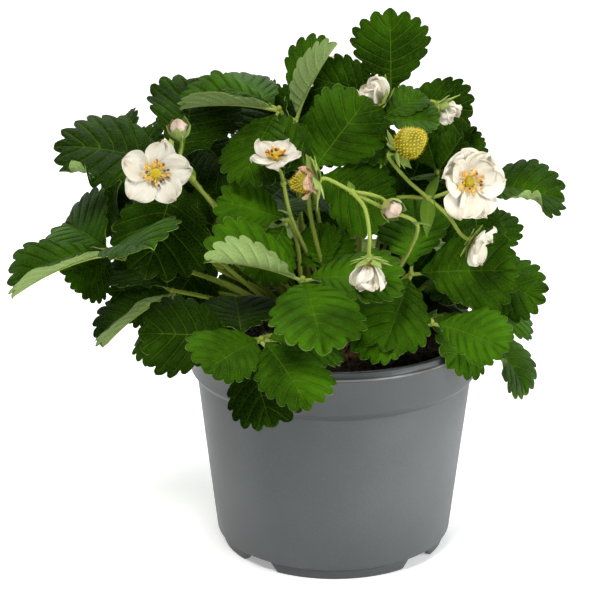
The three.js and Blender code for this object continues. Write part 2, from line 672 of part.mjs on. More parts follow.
// Flower stalks: each truss is a main stalk, its side stalks and the calyx behind every bloom
const stalkRadius = 1.1;
const sideRadius = 0.85;
const stalkSteps = 7;
const sideSteps = 3;
const calyxDrop = bladeThickness;
const closedCalyx = 70;
const trusses = [
  {
    name: "truss_left", ring: 1, slot: 4,
    stalk: [[-26, -12, 128], [-46, -17, 152], [-60, -26, 174]],
    sides: [
      ["bloom_left", [-67, -38, 181]],
      ["bud_left", [-65, -27, 183]],
      ["bud_left_small", [-68, -29, 184]],
    ],
    bracts: [[[-60, -26, 174], 120, 50, 9]],
  },
  {
    name: "truss_middle", ring: 2, slot: 8,
    stalk: [[23, -33, 132], [31, -42, 149], [33, -48, 161], [20, -54, 169], [6, -56, 177]],
    sides: [
      ["berry_small", [0, -58, 181]],
      ["bloom_hanging", [11, -62, 172], [13, -66, 161]],
      ["bud_middle", [13, -56, 176]],
    ],
    bracts: [[[33, -48, 161], -60, 20, 10], [[6, -56, 177], 100, 30, 7]],
  },
  {
    name: "truss_right", ring: 1, slot: 6,
    stalk: [[14, -10, 132], [18, -16, 160], [29, -22, 165], [39, -28, 166]],
    sides: [
      ["bloom_right", [48, -27, 169]],
      ["bloom_right_low", [47, -34, 160], [52, -36, 153]],
      ["berry_large", [29, -28, 175]],
    ],
    bracts: [[[39, -28, 166], -100, -60, 16], [[39, -28, 166], 60, 50, 12]],
  },
  {
    name: "truss_top", ring: 0, slot: 0,
    stalk: [[12, 9, 140], [20, 17, 168], [24, 19, 187]],
    sides: [["bloom_top", [24, 12, 195]], ["bloom_top_small", [34, 11, 194]]],
    bracts: [[[24, 19, 187], 40, 20, 8]],
  },
  {
    name: "truss_inner", ring: 0, slot: 2,
    stalk: [[-9, -12, 130], [-19, -33, 160], [-22, -36, 175]],
    sides: [["bloom_inner", [-23, -34, 179]]],
    bracts: [[[-19, -33, 160], 215, 40, 7]],
  },
  {
    name: "truss_back", ring: 3, slot: 3,
    stalk: [[1, 36, 126], [6, 50, 156], [10, 60, 176]],
    sides: [["bloom_back", [4, 66, 186]], ["bud_back", [20, 66, 182]]],
    bracts: [[[10, 60, 176], 60, 20, 10]],
  },
];

// Blooms: at is the back of the petals, facing is heading and pitch of the flower's axis
const blooms = [
  { name: "bloom_left", at: [-74, -50, 183], facing: [-82, 18], turn: 8, size: 14.5, open: 80, calyx: 7 },
  { name: "bloom_inner", at: [-25, -34, 185], facing: [-100, 76], turn: 0, size: 11, open: 84, calyx: 6 },
  { name: "bloom_right", at: [55, -30, 174], facing: [-75, 14], turn: 20, size: 15.5, open: 72, calyx: 8 },
  { name: "bloom_right_low", at: [57, -38, 150], facing: [-25, -24], turn: 0, size: 11, open: 70, calyx: 7 },
  { name: "bloom_hanging", at: [13, -66, 151], facing: [-80, -80], turn: 0, size: 12, open: 32, calyx: 7 },
  { name: "bloom_top", at: [20, 4, 199], facing: [200, 46], turn: 30, size: 12, open: 42, calyx: 9 },
  { name: "bloom_top_small", at: [45, 4, 198], facing: [-15, -30], turn: 0, size: 9, open: 38, calyx: 7 },
  { name: "bloom_back", at: [2, 74, 192], facing: [110, 40], turn: 0, size: 13.5, open: 78, calyx: 7 },
];
const buds = [
  { name: "bud_left", at: [-65, -27, 193], facing: [-110, 70], radius: 3.8, length: 8.5, calyx: 5.5 },
  { name: "bud_middle", at: [21, -55, 171], facing: [-60, -20], radius: 3.9, length: 7.5, calyx: 5.5 },
  { name: "bud_back", at: [26, 70, 187], facing: [60, 50], radius: 3.6, length: 8, calyx: 5.5 },
  { name: "bud_left_small", at: [-70, -31, 188], facing: [160, 60], radius: 2.6, length: 5, calyx: 4 },
];
const berries = [
  { name: "berry_small", at: [-9, -60, 183], facing: [188, -8], radius: 4.6, length: 11, calyx: 12 },
  { name: "berry_large", at: [25, -31, 188], facing: [-12, 32], radius: 6.9, length: 15, calyx: 9 },
];
const heads = [...blooms, ...buds, ...berries];

function bractSolid([at, heading, pitch, length]) {
  const axes = axesOf(heading, pitch, 0);
  const form = {
    base: vec(...at), axes, length, width: length * 0.2, droop: 20, fold: 15, curl: 0, wave: 0, phase: 0,
  };
  return bladeSolid(form, bractOutline, [0.5]);
}

function bractOutline(form, side) {
  return [[0, 0.7], [0.45, form.width], [0.85, form.width * 0.4]].map(([u, y]) => [u, side * y]);
}

function buildTruss(truss) {
  const foot = footAt(truss.ring, truss.slot);
  const start = foot.top.clone().addScaledVector(foot.way, socketDepth);
  const lower = [foot.bottom, foot.top, start, ...truss.stalk.map((point) => vec(...point))];
  const curve = new THREE.CatmullRomCurve3(lower);
  const solids = [sweep(curve, stalkRadius, stemSides, stalkSteps)];
  const fork = truss.stalk[truss.stalk.length - 1];
  for (const [name, ...via] of truss.sides) {
    const head = heads.find((item) => item.name === name);
    const axes = axesOf(head.facing[0], head.facing[1], head.turn ?? 0);
    const calyxCentre = vec(...head.at).addScaledVector(axes.a, -calyxDrop - gap);
    const end = calyxCentre.clone().addScaledVector(axes.a, 0.2);
    const before = calyxCentre.clone().addScaledVector(axes.a, -3);
    const path = [vec(...fork), ...via.map((point) => vec(...point)), before, end];
    solids.push(sweep(new THREE.CatmullRomCurve3(path), sideRadius, stemSides, sideSteps));
    const open = head.open ? Math.min(100, head.open + 14) : closedCalyx;
    solids.push(calyxSolid(calyxCentre, axes, head.calyx, open));
  }
  for (const bract of truss.bracts) solids.push(bractSolid(bract));
  return { solid: largestBody(join(solids)), socket: socketOf(curve, stalkRadius, stalkSteps) };
}

// Assembly
const plant = new THREE.Group();
plant.name = "potted_strawberry";
const finish = (color, roughness) => new THREE.MeshStandardMaterial({ color, roughness, metalness: 0 });
const potFinish = finish(0x7d8487, 0.45);
const soilFinish = finish(0x1d1712, 0.95);
const crownFinish = finish(0x6b4a2c, 0.8);
const leafFinish = finish(0x2f6a1c, 0.55);
const stalkFinish = finish(0x93ab4a, 0.6);
const petalFinish = finish(0xf3efe6, 0.6);
const middleFinish = finish(0xe0ac1e, 0.7);
const budFinish = finish(0xd9b9a4, 0.65);
const berryFinish = finish(0xb9b53a, 0.6);

function put(name, solid, material) {
  const mesh = new THREE.Mesh(toGeometry(solid), material);
  mesh.name = name;
  plant.add(mesh);
}

const sockets = [];
put("pot", buildPot(), potFinish);
put("soil", buildSoil(), soilFinish);
for (const row of leafRows) {
  const { solid, socket } = buildLeaf(row);
  sockets.push(socket);
  put(row.name, solid, leafFinish);
}
for (const truss of trusses) {
  const { solid, socket } = buildTruss(truss);
  sockets.push(socket);
  put(truss.name, solid, stalkFinish);
}
put("crown", crownBody(0).subtract(join(sockets)), crownFinish);
for (const bloom of blooms) {
  put(`${bloom.name}_petals`, petalsSolid(bloom), petalFinish);
  if (bloom.open > halfOpen) put(`${bloom.name}_middle`, middleSolid(bloom), middleFinish);
}
for (const bud of buds) put(bud.name, budSolid(bud), budFinish);
for (const berry of berries) put(berry.name, berrySolid(berry), berryFinish);

// The feet stand on the ground, and the middle of the whole width and depth is over the origin
const box = new THREE.Box3().setFromObject(plant, true);
const middle = box.getCenter(new THREE.Vector3());
plant.position.set(-middle.x, -middle.y, 0);

export default plant;
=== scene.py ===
import math

import bpy
import numpy as np
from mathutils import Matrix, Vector


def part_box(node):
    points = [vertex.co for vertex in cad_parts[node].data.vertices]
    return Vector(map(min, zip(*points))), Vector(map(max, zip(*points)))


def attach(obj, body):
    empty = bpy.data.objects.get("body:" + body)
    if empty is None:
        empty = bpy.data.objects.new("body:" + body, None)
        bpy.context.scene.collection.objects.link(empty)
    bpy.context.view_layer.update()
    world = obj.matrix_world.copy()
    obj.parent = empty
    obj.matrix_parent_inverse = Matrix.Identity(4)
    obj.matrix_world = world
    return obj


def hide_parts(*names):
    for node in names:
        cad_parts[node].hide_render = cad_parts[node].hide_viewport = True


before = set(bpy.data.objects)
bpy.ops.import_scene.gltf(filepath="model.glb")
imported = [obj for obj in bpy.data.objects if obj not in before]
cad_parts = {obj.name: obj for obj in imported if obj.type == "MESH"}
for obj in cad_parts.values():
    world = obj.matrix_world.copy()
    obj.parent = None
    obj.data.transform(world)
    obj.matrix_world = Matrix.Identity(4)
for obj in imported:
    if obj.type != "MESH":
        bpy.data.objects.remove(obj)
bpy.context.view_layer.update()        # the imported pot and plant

potLow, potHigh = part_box("pot")
potAxis = np.array([(potLow.x + potHigh.x) / 2, (potLow.y + potHigh.y) / 2, 0])

# Sizes below are in millimetres, and places are measured from the foot of the pot's axis.
# A piece becomes metres in the row's frame when it is shown.
mm = 0.001
seed = 7
dice = np.random.default_rng(seed)
circle = 2 * math.pi
goldenTurn = 2.39996        # between one pistil or seed and the next


# Directions: heading 0 is +X and 90 is +Y, pitch is up from level, all in degrees
def vec(*xyz):
    return np.array(xyz, float)


def unit(v):
    return v / np.maximum(np.linalg.norm(v, axis=-1, keepdims=True), 1e-9)


def spin(v, axis, degrees):
    t = math.radians(degrees)
    return v * math.cos(t) + np.cross(axis, v) * math.sin(t) + axis * np.dot(axis, v) * (1 - math.cos(t))


def axesOf(heading, pitch, roll):
    h, p = math.radians(heading), math.radians(pitch)
    a = vec(math.cos(p) * math.cos(h), math.cos(p) * math.sin(h), math.sin(p))
    s = spin(vec(-math.sin(h), math.cos(h), 0), a, roll)
    return a, s, np.cross(a, s)


def turned(axes, turn, lift, twist):
    a, s, n = axes
    t, l = math.radians(turn), math.radians(lift)
    flat = a * math.cos(t) + s * math.sin(t)
    way = flat * math.cos(l) + n * math.sin(l)
    side = spin(np.cross(n, flat), way, twist)
    return way, side, np.cross(way, side)


def openAxes(axes, turn, opening):
    # a petal or sepal that stands out of the flower's own axis by an angle
    a, s, n = axes
    t, o = math.radians(turn), math.radians(opening)
    out = s * math.cos(t) + n * math.sin(t)
    way = out * math.sin(o) + a * math.cos(o)
    side = np.cross(a, out)
    return way, side, np.cross(way, side)


def anglesRound(sides):
    return np.arange(sides) * circle / sides


def around(turn, first, second):
    # directions about an axis, from two directions square to it
    return np.cos(turn)[..., None] * first + np.sin(turn)[..., None] * second


def runAlong(path):
    # how far each point of a path is from its start
    return np.concatenate([[0], np.cumsum(np.linalg.norm(np.diff(path, axis=0), axis=1))])


def net(rows, columns):
    # shares along a small sheet, and across it from side to side
    return np.linspace(0, 1, rows)[:, None], np.linspace(-1, 1, columns)[None]


# Meshes are gathered as points, faces and named marks, one number for each point
class Piece:
    def __init__(self, *markNames):
        self.points, self.faces, self.size = [], [], 0
        self.marks = {name: [] for name in markNames}

    def add(self, points, faces, **marks):
        for group in faces:
            self.faces.append(np.asarray(group) + self.size)
        for name, values in self.marks.items():
            values.append(np.broadcast_to(np.asarray(marks.get(name, 0.0), float), len(points)))
        self.points.append(np.asarray(points, float))
        self.size += len(points)

    def triangles(self):
        return sum(len(group) * (group.shape[1] - 2) for group in self.faces)


shown = {"triangles": 0}


def show(piece, name, finish, nodes=(), sharp=50):
    points = np.concatenate(piece.points) * mm + potAxis
    corners = np.concatenate([group.ravel() for group in piece.faces])
    sizes = np.concatenate([np.full(len(group), group.shape[1]) for group in piece.faces])
    mesh = bpy.data.meshes.new(name)
    mesh.vertices.add(len(points))
    mesh.vertices.foreach_set("co", points.astype(np.float32).ravel())
    mesh.loops.add(len(corners))
    mesh.loops.foreach_set("vertex_index", corners.astype(np.int32))
    mesh.polygons.add(len(sizes))
    mesh.polygons.foreach_set("loop_start", (np.cumsum(sizes) - sizes).astype(np.int32))
    mesh.polygons.foreach_set("use_smooth", np.ones(len(sizes), bool))
    mesh.update(calc_edges=True)
    for mark, values in piece.marks.items():
        attribute = mesh.attributes.new(mark, "FLOAT", "POINT")
        attribute.data.foreach_set("value", np.concatenate(values).astype(np.float32))
    mesh.validate()
    mesh.set_sharp_from_angle(angle=math.radians(sharp))
    mesh.materials.append(finish)
    thing = bpy.data.objects.new(name, mesh)
    bpy.context.scene.collection.objects.link(thing)
    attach(thing, "root")
    if nodes:
        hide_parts(*nodes)
    shown["triangles"] += piece.triangles()
    return thing


def gridFaces(rows, columns, wrap=False):
    # quads over a grid of points, stored row by row
    i, j = np.meshgrid(np.arange(rows - 1), np.arange(columns if wrap else columns - 1), indexing="ij")
    here, beside = i * columns + j, i * columns + (j + 1) % columns
    return np.stack([here, beside, beside + columns, here + columns], -1).reshape(-1, 4)


def turnedBody(piece, grid, ends, **marks):
    # rings of points, row by row, with one point that closes each end
    rows, sides = grid.shape[:2]
    j = np.arange(sides)
    k = (j + 1) % sides
    first, last, top = rows * sides, rows * sides + 1, (rows - 1) * sides
    caps = np.concatenate([np.stack([k, j, np.full(sides, first)], -1),
                           np.stack([top + j, top + k, np.full(sides, last)], -1)])
    piece.add(np.concatenate([grid.reshape(-1, 3), ends]), [gridFaces(rows, sides, wrap=True), caps], **marks)


def slab(piece, grid, thickness, **marks):
    # a thin closed sheet over a grid of points, rows by columns; its upper face is the given one
    grid = grid[:, ::-1]
    rows, columns = grid.shape[:2]
    normal = unit(np.cross(np.gradient(grid, axis=1), np.gradient(grid, axis=0)))
    upper = grid.reshape(-1, 3)
    lower = (grid - normal * thickness).reshape(-1, 3)
    count = rows * columns
    top = gridFaces(rows, columns)
    ring = np.concatenate([
        np.arange(columns), np.arange(2, rows + 1) * columns - 1,
        np.arange(count - 2, count - columns - 1, -1), np.arange(rows - 2, 0, -1) * columns,
    ])
    after = np.roll(ring, -1)
    rim = np.stack([after, ring, ring + count, after + count], -1)
    both = {name: np.tile(np.asarray(value, float).ravel(), 2) if np.ndim(value) else value
            for name, value in marks.items()}
    under = np.repeat([0.0, 1.0], count)
    piece.add(np.concatenate([upper, lower]), [top, top[:, ::-1] + count, rim], under=under, **both)


def framesAlong(path):
    # two normals of a path that turn with it as little as they can
    tangents = unit(np.gradient(path, axis=0))
    start = vec(0, 0, 1) if abs(tangents[0][2]) < 0.9 else vec(1, 0, 0)
    normal = unit(np.cross(tangents[0], start))
    normals = []
    for tangent in tangents:
        normal = unit(normal - tangent * np.dot(normal, tangent))
        normals.append(normal)
    return np.array(normals), np.cross(tangents, normals)


def tube(piece, path, radii, sides=10, **marks):
    normals, seconds = framesAlong(path)
    ring = around(anglesRound(sides)[None], normals[:, None], seconds[:, None])
    spread = {name: np.append(np.repeat(value, sides), value[[0, -1]]) if np.ndim(value) else value
              for name, value in marks.items()}
    turnedBody(piece, path[:, None] + ring * np.asarray(radii)[:, None, None], path[[0, -1]], **spread)


def hairs(piece, path, radii, count, length, width=0.07):
    # fine three-sided hairs that stand out of a stem
    tangents = unit(np.gradient(path, axis=0))
    spot = dice.uniform(0, len(path) - 1.001, count)
    i = spot.astype(int)
    f = (spot - i)[:, None]
    centre = path[i] * (1 - f) + path[i + 1] * f
    tangent = tangents[i]
    out = unit(np.cross(tangent, dice.normal(size=(count, 3))))
    side = np.cross(tangent, out)
    base = centre + out * (np.asarray(radii)[i][:, None] - 0.1)
    lean = unit(out + tangent * dice.normal(0, 0.3, (count, 1)) + side * dice.normal(0, 0.2, (count, 1)))
    tip = base + lean * (length * dice.uniform(0.5, 1, (count, 1)) + 0.1)
    corners = [base + width * (math.cos(t) * tangent + math.sin(t) * side) for t in (0, 2.094, 4.189)]
    points = np.stack([*corners, tip], 1).reshape(-1, 3)
    one = np.array([[0, 1, 3], [1, 2, 3], [2, 0, 3], [0, 2, 1]])
    faces = (one[None] + 4 * np.arange(count)[:, None, None]).reshape(-1, 3)
    piece.add(points, [faces], stem=1, tone=0.9, along=1)


def ball(rings=6, sides=8):
    # unit ball for seeds, anthers and crumbs
    lift = math.pi * np.arange(1, rings) / rings
    flat = np.sin(lift)[:, None, None] * around(anglesRound(sides)[None], vec(1, 0, 0), vec(0, 1, 0))
    body = (flat - np.cos(lift)[:, None, None] * vec(0, 0, 1)).reshape(-1, 3)
    last = len(body) + 1
    j = np.arange(sides)
    k = (j + 1) % sides
    caps = np.concatenate([
        np.stack([1 + k, 1 + j, np.zeros(sides, int)], -1),
        np.stack([last - sides + j, last - sides + k, np.full(sides, last)], -1),
    ])
    points = np.concatenate([[[0, 0, -1]], body, [[0, 0, 1]]])
    return points, [gridFaces(rings - 1, sides, wrap=True) + 1, caps]


def scatter(piece, shape, places, axesX, axesY, axesZ, **marks):
    # copies of a small closed shape, each with its own three axes
    points, faces = shape
    count = len(places)
    moved = (places[:, None] + points[None, :, 0:1] * axesX[:, None] + points[None, :, 1:2] * axesY[:, None]
             + points[None, :, 2:3] * axesZ[:, None]).reshape(-1, 3)
    offsets = len(points) * np.arange(count)
    groups = [(group[None] + offsets[:, None, None]).reshape(-1, group.shape[1]) for group in faces]
    spread = {name: np.repeat(value, len(points)) if np.ndim(value) else value for name, value in marks.items()}
    piece.add(moved, groups, **spread)


def anyAxes(ways):
    # two directions square to each of the given ones
    first = unit(np.cross(ways, dice.normal(size=ways.shape)))
    return first, np.cross(ways, first)


# Shader maths: a wire is a socket that can stand in a Python expression
class Wire:
    def __init__(self, finish, socket):
        self.finish, self.socket = finish, socket

    def maths(self, operation, first, second=0.0):
        return self.finish.node("ShaderNodeMath", {"operation": operation}, {0: first, 1: second})

    def __add__(self, other):
        return self.maths("ADD", self, other)

    def __sub__(self, other):
        return self.maths("SUBTRACT", self, other)

    def __rsub__(self, other):
        return self.maths("SUBTRACT", other, self)

    def __mul__(self, other):
        return self.maths("MULTIPLY", self, other)

    __radd__, __rmul__ = __add__, __mul__

    def most(self, other):
        return self.maths("MAXIMUM", self, other)

    def fraction(self):
        return self.maths("FRACT", self)

    def size(self):
        return self.maths("ABSOLUTE", self)

    def step(self, low, high, start=0.0, end=1.0):
        # a smooth step from start to end between low and high
        return self.finish.node("ShaderNodeMapRange", {"interpolation_type": "SMOOTHSTEP"},
                                {0: self, 1: low, 2: high, 3: start, 4: end})


class Finish:
    def __init__(self, name, **plain):
        self.material = bpy.data.materials.new(name)
        self.material.use_nodes = True
        self.tree = self.material.node_tree
        self.surface = self.tree.nodes["Principled BSDF"]
        for socket, value in plain.items():
            self.surface.inputs[socket.replace("_", " ")].default_value = value
        self.where = self.node("ShaderNodeTexCoord", {}, {}, "Object")

    def node(self, kind, settings, inputs, output=0):
        node = self.tree.nodes.new(kind)
        for name, value in settings.items():
            setattr(node, name, value)
        for name, value in inputs.items():
            if isinstance(value, Wire):
                self.tree.links.new(value.socket, node.inputs[name])
            else:
                node.inputs[name].default_value = value
        return Wire(self, node.outputs[output])

    def mark(self, name):
        return self.node("ShaderNodeAttribute", {"attribute_name": name}, {}, "Fac")

    def noise(self, scale, detail=3.0, roughness=0.55):
        return self.node("ShaderNodeTexNoise", {}, {
            "Vector": self.where, "Scale": scale, "Detail": detail, "Roughness": roughness})

    def cells(self, scale, feature="F1"):
        return self.node("ShaderNodeTexVoronoi", {"feature": feature}, {"Vector": self.where, "Scale": scale})

    def mix(self, factor, first, second):
        # sockets 0, 6 and 7 of a colour mix are its factor and its two colours, and 2 is its result
        return self.node("ShaderNodeMix", {"data_type": "RGBA"}, {0: factor, 6: first, 7: second}, 2)

    def give(self, socket, wire):
        self.tree.links.new(wire.socket, self.surface.inputs[socket])

    def bump(self, height, strength, distance):
        self.give("Normal", self.node("ShaderNodeBump", {}, {
            "Strength": strength, "Distance": distance, "Height": height}))


def rgb(r, g, b):
    return (r, g, b, 1.0)


# Greens: leaf blades, sepals, stems and hairs
greens = {
    "deep": rgb(0.0045, 0.0175, 0.0004), "bright": rgb(0.0450, 0.1380, 0.0022), "vein": rgb(0.125, 0.230, 0.016),
    "under": rgb(0.240, 0.345, 0.110), "underVein": rgb(0.420, 0.520, 0.220), "margin": rgb(0.300, 0.400, 0.110),
    "stem": rgb(0.225, 0.290, 0.042), "stemRed": rgb(0.200, 0.060, 0.025), "stemDeep": rgb(0.060, 0.075, 0.012),
    "hair": rgb(0.40, 0.49, 0.15), "sheen": rgb(0.60, 0.95, 0.20), "sideVeinWidth": 0.055, "midribWidth": 0.30,
}


def makeGreen():
    g = Finish("plantGreen", Specular_IOR_Level=0.05, Specular_Tint=greens["sheen"])
    tone, under, stem = g.mark("tone"), g.mark("under").step(0.5, 0.95), g.mark("stem")
    out, off, phase, along = g.mark("out"), g.mark("off"), g.mark("phase"), g.mark("along")
    # how far a point is from the nearest side vein, as a share of a tooth
    aside = ((phase + (0.5 - leaflet["veinPhase"])).fraction() - 0.5).size()
    sideVein = aside.step(0.2 * greens["sideVeinWidth"], greens["sideVeinWidth"], 1.0, 0.0)
    sideVein = sideVein * out.step(0.55, 1.0, 1.0, 0.25)
    midrib = off.step(0.3 * greens["midribWidth"], greens["midribWidth"], 1.0, 0.0)
    veins = sideVein.most(midrib)
    mesh = g.cells(620.0, "DISTANCE_TO_EDGE").step(0.0, 0.12, 1.0, 0.0)
    patches, fine = g.noise(55.0), g.noise(900.0, 2.0)
    light = patches * 1.3 + g.noise(22.0, 2.0) * 0.9 - 1.13 + tone + fine * 0.12
    blade = g.mix(light.step(-0.35, 0.75), greens["deep"], greens["bright"])
    # painted shade: the blade darkens beside each side vein, in the creases between the raised pillows where less
    # light falls
    crease = aside.step(0.04, 0.30, 1.0, 0.0) * out.step(0.1, 0.35) * out.step(0.85, 1.0, 1.0, 0.0)
    margin = out.step(0.975, 0.99) * patches.step(0.5, 0.7)
    for factor, colour in (
        (crease * 0.4, "deep"), (mesh * 0.10, "vein"),
        ((midrib * 0.42).most(sideVein * (patches * 0.70)), "vein"),
        (out.step(0.90, 0.97) * 0.35, "deep"), (margin * 0.35, "margin"),
    ):
        blade = g.mix(factor, blade, greens[colour])
    pale = g.mix(veins.most(mesh * 0.5) * 0.7, greens["under"], greens["underVein"])
    blade = g.mix(under * 0.9, blade, pale)
    red = along.step(0.0, 0.22, 0.8, 0.0) + g.noise(80.0).step(0.55, 0.8) * 0.15
    stalk = g.mix(along.step(0.05, 0.85, 0.85, 0.0), greens["stem"], greens["stemDeep"])
    stalk = g.mix(red, stalk, greens["stemRed"])
    stalk = g.mix(tone.step(0.0, 1.0) * 0.4, stalk, greens["hair"])
    g.give("Base Color", g.mix(stem, blade, stalk))
    g.give("Roughness", 0.36 + under * 0.3 + stem * 0.15 + g.noise(300.0) * 0.16)
    relief = veins * -0.7 - mesh * 0.8 + fine * 0.6
    g.bump(relief * (1 - stem * 0.8), 0.6, 0.0004)
    return g.material


petalColours = {
    "white": (0.585, 0.56, 0.475), "cream": (0.49, 0.45, 0.345), "foot": rgb(0.52, 0.53, 0.16),
    "line": rgb(0.48, 0.42, 0.28), "edge": rgb(0.52, 0.40, 0.26), "stain": rgb(0.50, 0.33, 0.20),
}


def makePetalFinish(name, gain):
    p = Finish(name, Subsurface_Weight=0.3, Subsurface_Scale=0.002, Subsurface_Radius=(1.0, 1.0, 1.0),
               Specular_IOR_Level=0.25)
    along, across = p.mark("along"), p.mark("across")
    lines = ((across * 7.0 + p.noise(140.0) * 0.8).fraction() - 0.5).size()
    # a gain above one brightens the petals as painted light
    white, cream = (rgb(*(gain * share for share in petalColours[tint])) for tint in ("white", "cream"))
    face = p.mix(p.noise(160.0).step(0.35, 0.75), white, cream)
    for factor, colour in (
        (along.step(0.0, 0.32, 0.7, 0.0), "foot"),
        (lines.step(0.0, 0.18, 0.26, 0.0) * along.step(0.1, 0.5), "line"),
        (along.step(0.90, 1.0, 0.0, 0.22), "edge"),
        (p.mark("tone") * along.step(0.6, 1.0) * 2.0, "stain"),
    ):
        face = p.mix(factor, face, petalColours[colour])
    p.give("Base Color", face)
    p.give("Roughness", 0.5 + p.noise(400.0) * 0.2)
    p.bump(lines * 0.8 + p.noise(260.0) * 1.6 + p.noise(700.0) * 0.5, 0.4, 0.0004)
    return p.material


stamenColours = {
    "pistil": rgb(0.62, 0.50, 0.03), "filament": rgb(0.74, 0.56, 0.12), "anther": rgb(0.70, 0.33, 0.015),
    "spent": rgb(0.12, 0.045, 0.015), "pollen": rgb(0.45, 0.26, 0.03),
}


def makeStamenFinish():
    s = Finish("flowerMiddle", Specular_IOR_Level=0.35)
    tone = s.mark("tone")
    colour = s.mix(tone.step(0.1, 0.4), stamenColours["pistil"], stamenColours["filament"])
    for factor, name in (
        (tone.step(0.6, 0.8), "anther"), (tone.step(0.9, 1.0), "spent"),
        (s.noise(900.0).step(0.5, 0.8) * 0.4, "pollen"),
    ):
        colour = s.mix(factor, colour, stamenColours[name])
    s.give("Base Color", colour)
    s.give("Roughness", 0.6 + s.noise(1200.0) * 0.2)
    s.bump(s.noise(1500.0), 0.4, 0.0002)
    return s.material


berryColours = {
    "green": rgb(0.14, 0.13, 0.003), "yellow": rgb(0.27, 0.24, 0.010), "pale": rgb(0.34, 0.30, 0.030),
    "seed": rgb(0.50, 0.35, 0.012), "style": rgb(0.78, 0.60, 0.05),
}


def makeBerryFinish():
    b = Finish("greenBerry", Subsurface_Weight=0.1, Subsurface_Scale=0.004, Specular_IOR_Level=0.2)
    seedMark = b.mark("seed")
    skinTone = b.mix(b.noise(150.0).step(0.35, 0.7), berryColours["green"], berryColours["yellow"])
    skinTone = b.mix(b.mark("tone") * 0.6, skinTone, berryColours["pale"])
    seedTone = b.mix(b.noise(500.0), berryColours["seed"], berryColours["style"])
    b.give("Base Color", b.mix(seedMark, skinTone, seedTone))
    b.give("Roughness", 0.38 + seedMark * 0.25 + b.noise(500.0) * 0.12)
    b.bump(b.noise(900.0), 0.3, 0.0003)
    return b.material


budColours = {
    "fresh": (rgb(0.70, 0.62, 0.50), rgb(0.30, 0.12, 0.08)),
    "dried": (rgb(0.66, 0.46, 0.30), rgb(0.34, 0.17, 0.09)),
}


def makeBudFinish(name, pale, dark, roughness):
    b = Finish(name, Specular_IOR_Level=0.3)
    along, across = b.mark("along"), b.mark("across")
    streaks = (across * 9.0 + b.noise(200.0) * 1.4).fraction()
    shade = b.noise(230.0).step(0.4, 0.75) * 0.4 + along.step(0.4, 1.0) * 0.2 + streaks.step(0.62, 0.98) * 0.75
    b.give("Base Color", b.mix(shade, pale, dark))
    b.give("Roughness", roughness + b.noise(500.0) * 0.15)
    b.bump(streaks * 0.6 + b.noise(700.0) * 0.8, 0.45, 0.0004)
    return b.material


# Some of these colours stand in for light: one is painted shade for the crease and the joint above the feet, one
# is painted shade that darkens the pot's foot and collar, and the pale lip colour is a painted highlight along the
# rim
potColours = {
    "dark": rgb(0.061, 0.068, 0.071), "light": rgb(0.077, 0.086, 0.090), "grain": rgb(0.15, 0.165, 0.174),
    "dust": rgb(0.20, 0.20, 0.185), "paintedCreaseShade": rgb(0.018, 0.020, 0.021), "paintedLowCollarShade": rgb(0.030, 0.034, 0.036),
    "lip": rgb(0.62, 0.58, 0.57),
}


def makePotFinish():
    p = Finish("greyPlastic", Specular_IOR_Level=0.5)
    cloud, streak = p.noise(14.0, 4.0), p.noise(60.0, 5.0, 0.7)
    grain = p.noise(2600.0, 2.0)
    height = p.node("ShaderNodeSeparateXYZ", {}, {0: p.where}, "Z")
    foot, crease, rim = pot["baseHeight"], pot["creaseHeight"], pot["rimHeight"]

    def climb(level, low, high, start=0.0, end=1.0):
        # a step between two heights about a level, in millimetres
        return height.step((level + low) * mm, (level + high) * mm, start, end)

    # painted shade: a dark line under the collar's crease and along the joint of body and feet, where shade falls
    paintedShadeBands = (climb(crease, -0.9, -0.1) * climb(crease, 1.1, 3.3, 1.0, 0.0)).most(
        climb(foot, -1.2, -0.5) * climb(foot, 0.0, 1.2, 1.0, 0.0))
    dust = streak.step(0.52, 0.8) * climb(0, 0, 45, 0.22, 0.04)
    base = p.mix(cloud.step(0.3, 0.75), potColours["dark"], potColours["light"])
    for factor, colour in (
        (grain.step(0.5, 0.8) * 0.45, "grain"), (dust, "dust"), (paintedShadeBands * 0.6, "paintedCreaseShade"),
        # painted shade: the pot darkens towards its foot and over the collar, standing in for less light there
        (climb(0, 0, 45, 0.5, 0.0).most(climb(crease, -1.0, 2.5, 0.0, 0.5)), "paintedLowCollarShade"),
        # painted highlight: a pale line along the outer edge of the rim
        (climb(rim, 0.1, 0.4) * climb(rim, 0.5, 0.8, 1.0, 0.0) * 0.7, "lip"),
    ):
        base = p.mix(factor, base, potColours[colour])
    p.give("Base Color", base)
    p.give("Roughness", 0.42 + streak * 0.10 + dust * 0.3 - climb(rim, -1.5, 1.5) * 0.14)
    p.bump(grain * 0.7 + cloud * 0.8, 0.16, 0.0005)
    return p.material


earthColours = {
    "dark": rgb(0.006, 0.004, 0.003), "light": rgb(0.027, 0.016, 0.009), "dry": rgb(0.080, 0.046, 0.024),
    "bark": rgb(0.026, 0.014, 0.006), "paleBark": rgb(0.085, 0.050, 0.022), "sheath": rgb(0.150, 0.070, 0.030),
}


def makeSoilFinish():
    s = Finish("pottingSoil", Specular_IOR_Level=0.2)
    earth = s.mix(s.noise(420.0, 5.0).step(0.3, 0.7), earthColours["dark"], earthColours["light"])
    s.give("Base Color", s.mix(s.mark("tone") * 0.8, earth, earthColours["dry"]))
    s.give("Roughness", 0.78 + s.noise(600.0) * 0.2)
    s.bump(s.noise(900.0, 4.0), 0.7, 0.0009)
    return s.material


def makeCrownFinish():
    c = Finish("crownBark", Specular_IOR_Level=0.25)
    fibre = c.noise(500.0, 5.0, 0.7)
    bark = c.mix(fibre.step(0.3, 0.7), earthColours["bark"], earthColours["paleBark"])
    c.give("Base Color", c.mix(c.mark("tone"), bark, earthColours["sheath"]))
    c.give("Roughness", 0.7 + fibre * 0.2)
    c.bump(fibre, 0.6, 0.0008)
    return c.material


